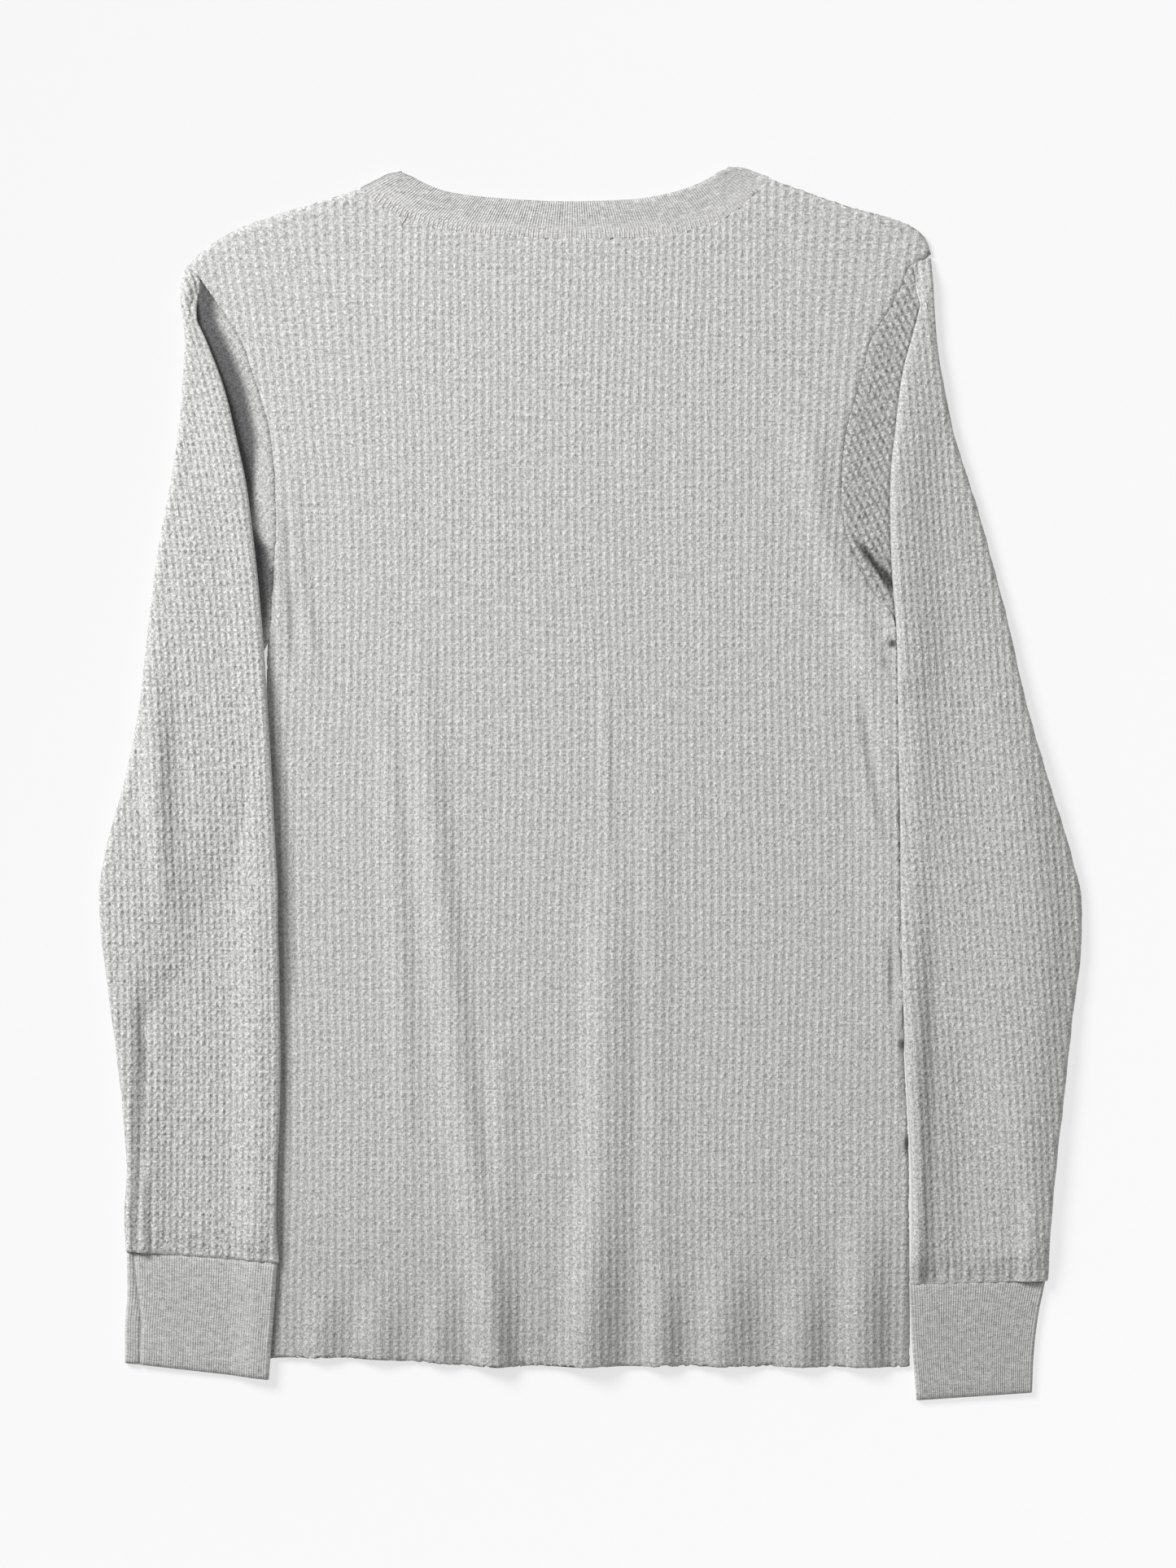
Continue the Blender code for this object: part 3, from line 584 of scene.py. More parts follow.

# %% [markdown]
# ## The knits
# The back, each sleeve and the right sleeve's under layer were stretched differently as they were laid
# out, so each has its own pitch and depth of the same waffle. Each material also makes the same colours a
# little lighter or darker: painted light and shade for how much light its piece gets. The rib of the
# neckband and the cuffs is finer and harder. Where the cloth is pinched against itself, and in the shadows
# beside the flaps, hardly any light gets in: an attribute of painted shade says how much of the colour to
# take away there, because a wall of 1.5 mm can't fold so tight. The waffle's pits get painted shade too.

# %% The knits' materials
# Painted shade: the yarn's colour is darkened towards this grey in the waffle's pits, which hold less light.
PIT_SHADE_COLOUR = (0.25, 0.25, 0.25, 1)
# Painted shade and shadow: the colour is darkened towards this where hardly any light gets in.
PAINTED_SHADE_COLOUR = (0.08, 0.08, 0.09, 1)
WAFFLE_COLOURS = ((0.82, 0.818, 0.803), (0.35, 0.35, 0.343))
WAFFLE_YARN = {"Fleck_length": 1.3, "Fleck_height": 1.7, "Loop_width": 1.15, "Course": 1.07}
WAFFLE_YARN_DEPTH = 0.1
RIB_COLOURS = ((0.80, 0.797, 0.783), (0.34, 0.34, 0.333))
RIB_YARN = {"Fleck_length": 4.5, "Fleck_height": 0.7, "Loop_width": 0.75, "Course": 0.55}
RIB_YARN_DEPTH = 0.08
RIB_PIT_SHADE, RIB_SPREAD = 0.38, 0.15
TRIM_RIB = 1.5
TRIM_FORM = {"Rib_pitch": TRIM_RIB, "Rib_share": 1.0, "Bar_height": 0.0, "Knot": 0.0, "Depth": 0.24}
# The last column makes the colours lighter or darker for each piece: painted light and shade for how much
# light the piece gets.
Knit = namedtuple("Knit", "rib bar share bar_height knot depth pit_shade uneven spread tone")
BACK_KNIT = Knit(4.6, 4.45, 0.92, 0.32, 0.58, 0.4, 0.32, 0.75, 0.122, 1.04)
LEFT_KNIT = Knit(3.85, 4.5, 1.0, 0.34, 0.6, 0.5, 0.52, 0.95, 0.112, 1.06)
RIGHT_KNIT = Knit(4.05, 4.6, 1.0, 0.32, 0.55, 0.43, 0.38, 0.95, 0.114, 1.01)
UNDER_KNIT = Knit(4.05, 4.6, 0.95, 0.3, 0.7, 0.66, 0.68, 0.8, 0.12, 0.99)


def new_material(name, **sizes):
    """A material, its tree and its shader's inputs, some of them set."""
    made = bpy.data.materials.new(name)
    made.use_nodes = True
    shader = made.node_tree.nodes["Principled BSDF"].inputs
    for label, value in sizes.items():
        shader[label.replace("_", " ")].default_value = value
    return made, made.node_tree, shader


def bump(tree, shader, height, distance):
    """Turns the shader's normal by a height."""
    node = fed_node(tree, "ShaderNodeBump", Strength=1.0, Distance=distance, Height=height)
    feed(tree, shader["Normal"], node.outputs["Normal"])


def knit_material(name, colours, tone, yarn, form, pit_shade, yarn_depth, spread):
    """A matt cotton knit: heather yarn for its colour with painted light and shade, and its form and loops
    for its bump.
    """
    made, tree, shader = new_material(
        name, Roughness=0.92, Specular_IOR_Level=0.15, Sheen_Weight=0.1, Sheen_Roughness=0.6
    )
    place = fed_node(tree, "ShaderNodeAttribute", {"attribute_name": "cloth"}).outputs["Vector"]
    light, dark = [(*(tone * part for part in colour), 1) for colour in colours]
    strands = fed_node(
        tree, "ShaderNodeGroup", {"node_tree": YARN},
        Cloth=place, Light_yarn=light, Dark_yarn=dark, Spread=spread, **yarn,
    )
    knit = fed_node(tree, "ShaderNodeGroup", {"node_tree": FORM}, Cloth=place, **form)
    # Painted shade: the pits' colour is darkened, because they hold less light.
    pits = times(tree, knit.outputs["Pit"], pit_shade)
    shaded = colour_mix(tree, pits, strands.outputs["Color"], PIT_SHADE_COLOUR, "MULTIPLY")
    # Painted shade and shadow: the attribute darkens the colour where hardly any light gets in.
    pinch = fed_node(tree, "ShaderNodeAttribute", {"attribute_name": "pinch"}).outputs["Fac"]
    feed(tree, shader["Base Color"], colour_mix(tree, pinch, shaded, PAINTED_SHADE_COLOUR, "MULTIPLY"))
    loops = times(tree, strands.outputs["Height"], yarn_depth)
    bump(tree, shader, plus(tree, knit.outputs["Height"], loops), MM)
    print(name, "with a tone of", tone)
    return made


def waffle_material(name, knit):
    form = {
        "Rib_pitch": knit.rib,
        "Bar_pitch": knit.bar,
        "Rib_share": knit.share,
        "Bar_height": knit.bar_height,
        "Knot": knit.knot,
        "Depth": knit.depth,
        "Uneven": knit.uneven,
    }
    return knit_material(
        name, WAFFLE_COLOURS, knit.tone, WAFFLE_YARN, form, knit.pit_shade, WAFFLE_YARN_DEPTH, knit.spread
    )


def rib_material(name, tone):
    return knit_material(
        name, RIB_COLOURS, tone, RIB_YARN, TRIM_FORM, RIB_PIT_SHADE, RIB_YARN_DEPTH, RIB_SPREAD
    )


WAFFLE = waffle_material("waffle_knit", BACK_KNIT)
WAFFLE_LEFT = waffle_material("waffle_knit_left", LEFT_KNIT)
WAFFLE_RIGHT = waffle_material("waffle_knit_right", RIGHT_KNIT)
WAFFLE_UNDER = waffle_material("waffle_knit_under", UNDER_KNIT)
# Painted light: the neckband's rib is made lighter than the cuffs', for the light it gets.
RIB = rib_material("rib_knit", 1.02)
RIB_NECK = rib_material("rib_knit_neck", 1.1)

# %% [markdown]
# ## The relief
# There are over twelve thousand cells in the back alone, so they can't be placed one by one. A Geometry
# Nodes tree reads each point's place on the flat cloth and lifts it along its normal, by the form's ribs
# and bars. The same tree makes the fine rib of the trims, with no bars.

# %% The relief tree
GEOMETRY_OUT = [("Geometry", "Geometry")]
RELIEF_PATCH = (7.0, 9.0)


def end_tree(tree, flow, given, out):
    """Smooth shading, real geometry and the material, which end each Geometry Nodes tree here."""
    for kind in ("SetShadeSmooth", "RealizeInstances"):
        flow = fed_node(tree, "GeometryNode" + kind, Geometry=flow).outputs[0]
    finish = fed_node(tree, "GeometryNodeSetMaterial", Geometry=flow, Material=given["Material"])
    feed(tree, out["Geometry"], finish.outputs[0])
    print(tree.name, "has", len(tree.nodes), "nodes")
    return tree


def relief_tree():
    inputs = [
        ("Geometry", "Geometry", None),
        *FORM_INPUTS,
        ("Depth", "Float", 0.5),
        ("Uneven", "Float", 0.4),
        ("Material", "Material", None),
    ]
    tree, given, out = new_tree("knit_relief", "GeometryNodeTree", inputs, GEOMETRY_OUT)
    place = fed_node(tree, "GeometryNodeInputNamedAttribute", {"data_type": "FLOAT_VECTOR"}, Name="cloth")
    u, v, weight = axes(tree, place.outputs["Attribute"])
    form = knit_form(tree, u, v, given)
    noise = noise_at(tree, stretched(tree, u, v, RELIEF_PATCH))
    uneven = ranged(tree, noise, NOISE_LOW, NOISE_HIGH, minus(tree, 1.0, given["Uneven"]), 1.0, smooth=False)
    height = times(tree, form, given["Depth"], uneven, weight, MM)
    normal = tree.nodes.new("GeometryNodeInputNormal").outputs[0]
    lift = fed_node(tree, "ShaderNodeVectorMath", {"operation": "SCALE"}, Vector=normal, Scale=height)
    move = fed_node(tree, "GeometryNodeSetPosition", Geometry=given["Geometry"], Offset=lift.outputs[0])
    return end_tree(tree, move.outputs[0], given, out)


RELIEF = relief_tree()


def worked(piece, tree, **sizes):
    """Runs a Geometry Nodes tree on a piece with its named sizes, and keeps the result as a plain mesh."""
    modifier = piece.modifiers.new("work", "NODES")
    modifier.node_group = tree
    for item in tree.interface.items_tree:
        label = item.name.replace(" ", "_").lower()
        if item.in_out == "INPUT" and label in sizes:
            modifier[item.identifier] = sizes.pop(label)
    assert not sizes, sizes
    bpy.context.view_layer.update()
    graph = bpy.context.evaluated_depsgraph_get()
    mesh = bpy.data.meshes.new_from_object(
        piece.evaluated_get(graph), preserve_all_data_layers=True, depsgraph=graph
    )
    piece.modifiers.clear()
    piece.data = mesh
    mesh.name = piece.name
    print(piece.name, "has", sum(len(face.vertices) - 2 for face in mesh.polygons), "triangles")
    return piece


def waffled(piece, knit, relief, finish):
    """Raises a waffle's ribs and bars on a piece, by a depth and with ribs of a share of their pitch."""
    depth, share = relief
    return worked(
        piece, RELIEF, rib_pitch=knit.rib, bar_pitch=knit.bar, depth=depth, rib_share=share, material=finish
    )


def ribbed(piece, depth, finish):
    """Raises the trims' fine rib on a piece."""
    return worked(
        piece, RELIEF, rib_pitch=TRIM_RIB, rib_share=1.0, bar_height=0.0, knot=0.0, depth=depth,
        material=finish,
    )


# %% [markdown]
# ## The back panel
# The back shows whole. Its ribs run straight up and down, so its grid is square to them, with three lines
# to a rib and two to a bar. No cloth lies quite straight, so the lines drift a little, and beside the
# armholes the ribs run outwards, where the shoulders draw them. Its sewn edges roll down, except at the
# neck, where the band holds them flat, and its right side climbs against the sleeve's flap.

# %% The back's edges and its drift
Level = namedtuple("Level", "y value")
Sway = namedtuple("Sway", "size across up")
RIB_LINES = (0.0, 0.3, 0.7)
BAR_LINES = (0.0, 0.5)
EDGE_ROLL, EDGE_ROLL_REACH = 0.9, 3.2
ROLL_END = 0.999
LEAN, LEAN_START = 0.00042, 80.0
LEFT_LEAN, RIGHT_LEAN = (-212.0, -100.0), (95.0, 190.0)
FLAP_LOW, FLAP_HIGH = (-164.0, -130.0), (92.0, 106.0)
FLAP_TOUCH = 0.9
FLAP_RISE = table_of(Level, (-164, 1.1), (-100, 1.1), (-40, 2.4), (10, 3.2), (66, 3.3), (106, 2))
FLAP_RISE_REACH = 28.0
SWAYS = table_of(Sway, (0.9, 71, 58), (0.5, 33, -41), (0.2, 13, 17))
SIDEWAYS_PHASE, UPWARD_PHASE = 1.3, 4.1


def rolled(distance, depth, reach):
    """How far a sewn edge rolls down, at a distance from it."""
    t = 1 - np.clip(distance / reach, 0.0, 1.0)
    return depth * (1 - np.sqrt(1 - t * t * ROLL_END))


def at_flap(y):
    """1 where the right flap presses against the body's side, and 0 elsewhere."""
    return smoothstep(*FLAP_LOW, y) * faded(*FLAP_HIGH, y)


def flap_rise(x, y):
    """How far the body climbs towards the right flap, which holds its side up."""
    return at(FLAP_RISE, y, "value") * at_flap(y) * faded(0.0, FLAP_RISE_REACH, right_side(y) - x)


def clamped(x, y, neck, reach=0.0):
    """Grid lines as points inside a body panel's outline."""
    x = np.clip(x, left_side(y), right_side(y) + reach)
    y = np.clip(y, hem(x), top_line(x, neck))
    return x, y


def panel_lines(x, y):
    """A panel's grid. The line nearest to each end of the neck moves onto it, so the corner stays sharp."""
    for corner in (LEFT_SHOULDER[-1].x, RIGHT_SHOULDER[0].x):
        x[np.argmin(np.abs(x - corner))] = corner
    return np.meshgrid(x, y)


def wander(x, y, phase):
    """A slow drift of the knit's lines, in mm: waves of three sizes."""
    waves = enumerate(SWAYS, start=1)
    return sum(wave.size * np.sin(x / wave.across + y / wave.up + turn * phase) for turn, wave in waves)


def armhole_lean(x, y):
    """How far the ribs run outwards beside the armholes, where the shoulders draw the cloth up."""
    climb = LEAN * np.maximum(y - LEAN_START, 0.0) ** 2
    return climb * (smoothstep(*RIGHT_LEAN, x) - 1 + smoothstep(*LEFT_LEAN, x))


print("lean at the right armhole in mm:", armhole_lean(RIGHT_LEAN[1], right_shoulder(RIGHT_LEAN[1])).round(1))

# %% [markdown]
# ## Where hardly any light gets in
# Beside the flaps, and in a small hole at the right underarm, the cloth is pinched into gaps and lies in
# shadows so deep that it looks black. A wall of 1.5 mm can't fold as tight as that, so these places get
# painted shade instead of being modelled. The tables say where they are and how much of the light they
# lose. The hem gets a faint painted shade too, darker towards its edge.

# %% The back's deep shadows
Gap = namedtuple("Gap", "y half_length")
Shadow = namedtuple("Shadow", "y reach depth")
RIGHT_GAPS = table_of(Gap, (-154, 6), (-213, 9))
GAP_SHADE = 0.95
DARK_REACH = (1.0, 3.4)
SIDE_CREASE, SIDE_CREASE_HALF = (175.8, -112.0), (1.6, 34.0)
SIDE_CREASE_SHADE = 0.75
UNDERARM_HOLE = (177.1, 81.3)
UNDERARM_CURL = table_of(Edge, (88, 175.8), (84, 172.4), (77, 171.5), (69, 172.8), (55.5, 176.5))
CURL_MIDDLE, CURL_HALF = 72.0, (1.5, 17.0)
CURL_SHADE = 0.5
# Painted shade, darker towards the hem.
HEM_SHADE = 0.15
HEM_SHADED = (-350.0, -215.0)
# Painted shadow beside the left flap: at each height y, how far it reaches past the flap's edge, and how much
# of the colour it takes away as its depth.
LEFT_SHADOW = table_of(
    Shadow,
    (300, 13, 0.88), (262, 13, 0.88), (242, 13.8, 0.88), (222, 13.4, 0.88), (203, 12.5, 0.88),
    (190, 9.4, 0.88), (176, 5.6, 0.86), (163, 2.9, 0.8), (150, 1.9, 0.7), (143, 5, 0.8),
    (137, 8.8, 0.88), (122, 9.5, 0.85), (101, 5.5, 0.8), (77, 1.2, 0.25), (53, 6.5, 0.3),
    (-42, 8.8, 0.4), (-110, 8.6, 0.4), (-145, 4.5, 0.3), (-210, 3.5, 0.3), (-300, 4, 0.3),
)
SHADOW_SOFT = 0.28
SHADOW_TOP = (120.0, 150.0)
LEFT_FLAP_EDGE = table_of(
    Edge,
    (118, -195), (78, -191.6), (49, -189.8), (5, -187), (-42, -184.6), (-86, -183.4), (-162, -181.9),
    (-230, -184), (-282, -183.4), (-306, -185.4), (-350, -188.8),
)


def left_shadow(y, past_flap):
    """The painted shadow beside the left flap's folded edge: how little light reaches a place there."""
    reach = at(LEFT_SHADOW, y, "reach")
    depth = at(LEFT_SHADOW, y, "depth")
    return depth * faded((1 - SHADOW_SOFT) * reach, (1 + SHADOW_SOFT) * reach, past_flap)


def from_hole(x, y):
    """How far a place is from the small hole at the right underarm."""
    return np.hypot(x - UNDERARM_HOLE[0], y - UNDERARM_HOLE[1])


def oval(from_x, from_y, half):
    """1 in the middle of an oval spot and 0 past its edge."""
    return ridge(from_x, half[0]) * ridge(from_y, half[1])


def back_painted_shade(x, y):
    """Painted shade on the back where hardly any light reaches it: gaps, creases, the flap's shadow, hole,
    hem.
    """
    from_side = right_side(y) - x
    beside_flap = x - at(LEFT_FLAP_EDGE, y)
    beside_curl = x - at(UNDERARM_CURL, y)
    beside_gap = faded(*DARK_REACH, from_side)
    shades = [GAP_SHADE * ridge(y - gap.y, gap.half_length) * beside_gap for gap in RIGHT_GAPS]
    shades.append(left_shadow(y, beside_flap) * faded(*SHADOW_TOP, y))
    shades.append(crease_painted_shade(BACK_FOLDS, x, y))
    shades.append(SIDE_CREASE_SHADE * oval(x - SIDE_CREASE[0], y - SIDE_CREASE[1], SIDE_CREASE_HALF))
    shades.append(CURL_SHADE * oval(beside_curl, y - CURL_MIDDLE, CURL_HALF))
    shades.append(faded(*DARK_REACH, from_hole(x, y)))
    shades.append(HEM_SHADE * faded(*HEM_SHADED, y))
    return np.maximum.reduce(shades)


print("light lost at the underarm's hole:", back_painted_shade(*np.array(UNDERARM_HOLE)[:, None]).round(2))

# %% [markdown]
# ## Making the back
# The grid takes its outline, its drift, its folds and its edges from the functions above. The shell comes
# first, smooth, and the waffle is raised on it last. An image could displace the shell instead, but it
# would need a far closer grid: here the lines follow the ribs, so a few to each rib keep it crisp.

# %% Make the back panel
BACK_RELIEF = (0.46, 0.9)
RIM_HEIGHT, RIM_RADIUS, RIM_HALF = 0.9, 5.0, 2.4
PRESSED_FROM, PRESSED_HALF = (175.0, 176.5), 46.0
PRESSED_FLAT = 0.8


def back_panel():
    """The back's shell, with its waffle."""
    x = knit_lines(LEFT_SHOULDER[0].x, RIGHT_SHOULDER[-1].x, BACK_KNIT.rib, RIB_LINES)
    y = knit_lines(HEM[-1].y, RIGHT_SHOULDER[0].y, BACK_KNIT.bar, BAR_LINES)
    x, y = panel_lines(x, y)
    drift_x, drift_y = wander(x, y, SIDEWAYS_PHASE) + armhole_lean(x, y), wander(x, y, UPWARD_PHASE)
    reach = FLAP_TOUCH * at_flap(y)
    x, y = clamped(x + drift_x, y + drift_y, back_neck, reach)
    from_side = np.minimum(x - left_side(y), right_side(y) + reach - x)
    from_top = top_line(x, back_neck) - y
    at_neck = (x > LEFT_SHOULDER[-1].x) & (x < RIGHT_SHOULDER[0].x)
    roll = rolled(from_side, EDGE_ROLL * (1 - at_flap(y) * (x > 0)), EDGE_ROLL_REACH)
    roll = np.maximum(roll, rolled(from_top, np.where(at_neck, 0.0, EDGE_ROLL), EDGE_ROLL_REACH))
    rim = RIM_HEIGHT * ridge(from_hole(x, y) - RIM_RADIUS, RIM_HALF)
    middle = np.stack([x, y, BACK_LAYER + back_lift(x, y) + flap_rise(x, y) + rim - roll], axis=-1)
    cloth = np.stack([x - drift_x, y - drift_y], axis=-1)
    pressed = smoothstep(*PRESSED_FROM, x) * ridge(y - SIDE_CREASE[1], PRESSED_HALF)
    weight = 1 - PRESSED_FLAT * pressed
    piece = shell("back_panel_knit", middle, cloth, weight, steps=(8, 6), pinch=back_painted_shade(x, y))
    return waffled(piece, BACK_KNIT, BACK_RELIEF, WAFFLE)


BACK = back_panel()

# %% [markdown]
# ## The front panel
# The front lies on the surface and only its edge shows. It keeps a plain even grid, with its face down.

# %% Make the front panel
FRONT_GRID = 6.0


def front_panel():
    x = np.arange(LEFT_SHOULDER[0].x, RIGHT_SHOULDER[-1].x + FRONT_GRID, FRONT_GRID)
    y = np.arange(HEM[-1].y, RIGHT_SHOULDER[0].y + FRONT_GRID, FRONT_GRID)
    x, y = clamped(*panel_lines(x, y), front_neck)
    middle = np.stack([x, y, np.full_like(x, FLOOR_LAYER)], axis=-1)[::-1]
    cloth = np.stack([x, y], axis=-1)[::-1]
    piece = shell("front_panel_knit", middle, cloth, np.zeros_like(x), steps=(1, 1))
    return worked(piece, RELIEF, material=WAFFLE)


FRONT = front_panel()

# %% [markdown]
# ## The sleeves
# A sleeve is a tube that leaves the armhole as two flat layers, is creased at its outer side and comes
# back as a flap beside the body. Each row below is one section across it: where the flap's folded edge
# and the silhouette are, measured outwards from x = 0, how far it is folded there, and how much its outer
# end rises above the inner one. Most sections are fully folded and level. The ribs, the seam and the
# folds have lines of their own. Two sleeves are never laid out alike, so each has its own tables.

# %% The sleeves' tables
PLAIN, HUMPED, FOLDED = range(3)
Section = namedtuple("Section", "y inner outer stage rise", defaults=(FOLDED, 0))
Flap = namedtuple("Flap", "ridge ridge_in ridge_reach smooth_edge")
Sleeve = namedtuple(
    "Sleeve", "side sections edges seam_line underarm elbow lies_on_body folds flap rib_line knit"
)
LEFT_SLEEVE = table_of(
    Section,
    (300.5, 236, 238.6, PLAIN, 0.8), (287.5, 236.6, 240.9, HUMPED, 0), (270, 230.6, 239),
    (259, 225.4, 238.2), (229, 214.4, 240), (206, 208.7, 241.9), (173, 201.6, 247), (150, 198.6, 251.5),
    (118, 195, 256.4), (78, 191.6, 261), (49, 189.8, 264.2), (5, 187, 272.5), (-42, 184.6, 285),
    (-66, 183.4, 288.6), (-86, 183.4, 287.6), (-106, 182.8, 285.2), (-130, 182.4, 282.2),
    (-162, 181.9, 278), (-202, 182.6, 273.8), (-230, 184, 272.4, FOLDED, 2),
    (-260, 184.4, 273.8, FOLDED, 5), (-282, 182.8, 272.8, FOLDED, 6.4),
)
RIGHT_SLEEVE = table_of(
    Section,
    (305.5, 197.6, 200.2, PLAIN, 2.2), (292, 196.6, 201.4, HUMPED, 0.4), (276, 192.8, 202.3),
    (259, 188.2, 203.4), (240, 183.2, 206.3), (206, 178.8, 213), (180, 176.2, 221), (160, 175.8, 227.4),
    (134, 176.4, 234.6), (113, 177.6, 240.2), (97, 179, 244.4), (81, 179.8, 248), (48, 180.4, 255.4),
    (5, 181.2, 267.6), (-42, 181.8, 282), (-70, 182.2, 288.2), (-90, 182.6, 288.4), (-138, 184, 283),
    (-190, 186.6, 277.4), (-210, 187.6, 275), (-234, 188.6, 272.6), (-262, 188.6, 270.2, FOLDED, 1),
    (-294.6, 187.6, 268.6, FOLDED, 2),
)
LEFT_UNDERARM_SEAM = table_of(
    Edge,
    (83.5, 188.8), (62, 200), (40, 212), (5, 228), (-42, 252), (-86, 280), (-106, 285),
)
RIGHT_UNDERARM_SEAM = table_of(
    Edge,
    (86.9, 178.2), (66, 190), (44, 202), (5, 218), (-42, 230), (-90, 240), (-138, 250), (-190, 270),
    (-210, 275),
)
LEFT_ELBOW, RIGHT_ELBOW = -106.0, -210.0
LEFT_RIB_LINE = table_of(
    Edge,
    (300, 236), (206, 208.7), (118, 195), (5, 187), (-162, 181.9), (-282, 182.8),
)
RIGHT_RIB_LINE = table_of(
    Edge,
    (305, 174), (200, 184), (100, 191), (0, 198), (-100, 206), (-200, 213), (-294.6, 217),
)
LEFT_SLEEVE_FOLDS = table_of(
    Fold,
    (257, 110, 254.5, 244, -110, 16, 12, 3.3, False),
    (210, 40, 204, 200, -276, 18, 14, 1.2, True),
    (254, -90, 253, 253, -276, 10, 8, 1.1, True),
    (264.5, -100, 264.6, 270, -283, 5.5, 5.5, -2.4, True),
    (258.6, -225, 258.6, 258.6, -283, 3, 3.4, -1.2, True),
    (247.5, 60, 247, 246.5, -95, 8, 8, -0.9, False),
)
RIGHT_SLEEVE_FOLDS = table_of(
    Fold,
    (238, 130, 261, 252, -290, 44, 28, 3.6, True),
    (193, 130, 190, 192, -290, 7, 12, 1, True),
    (199, -60, 199, 198, -294, 8, 10, -1.4, True),
)
LEFT_FLAP = Flap(
    ridge=table_of(Level, (-300, 1.9), (300, 1.9)),
    ridge_in=3.0,
    ridge_reach=20.0,
    smooth_edge=table_of(Level, (-300, 0.6), (300, 0.6)),
)
RIGHT_FLAP = Flap(
    ridge=table_of(Level, (-300, 3.6), (-160, 3.2), (-130, 1.6), (44, 1.6), (70, 4), (300, 4)),
    ridge_in=3.0,
    ridge_reach=30.0,
    smooth_edge=table_of(Level, (-300, 2.4), (-150, 2.4), (-124, 0.6), (44, 0.6), (66, 1.6), (300, 1.6)),
)
LEFT = Sleeve(
    -1, LEFT_SLEEVE, LEFT_SIDE, LEFT_UNDERARM_SEAM, LEFT_UNDERARM, LEFT_ELBOW, True, LEFT_SLEEVE_FOLDS,
    LEFT_FLAP, LEFT_RIB_LINE, LEFT_KNIT,
)
RIGHT = Sleeve(
    1, RIGHT_SLEEVE, RIGHT_SIDE, RIGHT_UNDERARM_SEAM, RIGHT_UNDERARM, RIGHT_ELBOW, False, RIGHT_SLEEVE_FOLDS,
    RIGHT_FLAP, RIGHT_RIB_LINE, RIGHT_KNIT,
)
print("sections of the sleeves:", len(LEFT_SLEEVE), "and", len(RIGHT_SLEEVE))

# %% [markdown]
# ## A folded sleeve as a grid
# One section is a chain: round the crease, in along the flap's hidden underside, round the folded edge,
# out along the layer that shows, round the silhouette, and in along the surface to the front armhole. All
# the sections together are one grid, with close lines only where the knit shows. Folding a modelled tube
# with a cloth simulation would end somewhere else each time, so the chain is written down instead.

# %% A folded sleeve as a grid
NO_BODY = -1000.0
ELBOW_START, ELBOW_END = -20.0, 40.0
EDGE_SQUARENESS = 0.38
OUTER_REACH = 3.0
OUTER_CALM, OUTER_CALM_REACH = 0.7, 22.0
NARROW_FLAP, FULL_FLAP, LEAST_FLAP = 6.0, 45.0, 6.6
HUMP_REACH, HUMP_WIDTH = 2.6, 10.0
STEP_START, STEP_REACH = 4.0, 22.0
HIDDEN_FULL, HIDDEN_SLOPE = 12.0, 44.0
ALLOWANCE_FULL, ALLOWANCE_SLOPE = 2.5, 12.0
SEAM_ALLOWANCE = 4.0
SLEEVE_PUFF = 1.5
CUFF_FULLNESS, CUFF_PULL = 0.15, 18.0
DEEPEST_CREASE = -1.5
PUCKER, PUCKER_PITCH = 0.4, 7.6
PUCKER_SWAY, PUCKER_SWAY_LENGTH = 1.2, 11
PUCKERED = (2.0, 30.0)
RUN = np.array([0.07, 0.2, 0.36, 0.52, 0.68, 0.82, 0.93])


def half_turn(out, start, end, reach, steps, squareness=1.0):
    """Half an ellipse for every row, from one height round to the other. A low squareness makes it a box."""
    angle = np.pi * np.arange(steps + 1) / steps
    up = (start + end) / 2 + (start - end) / 2 * np.cos(angle)
    return out + reach * np.maximum(np.sin(angle), 0.0) ** squareness, up + 0 * out


def joined(parts):
    """The parts of a section side by side: how far out each column is, and how high."""
    return [np.concatenate(part, axis=1) for part in zip(*parts)]


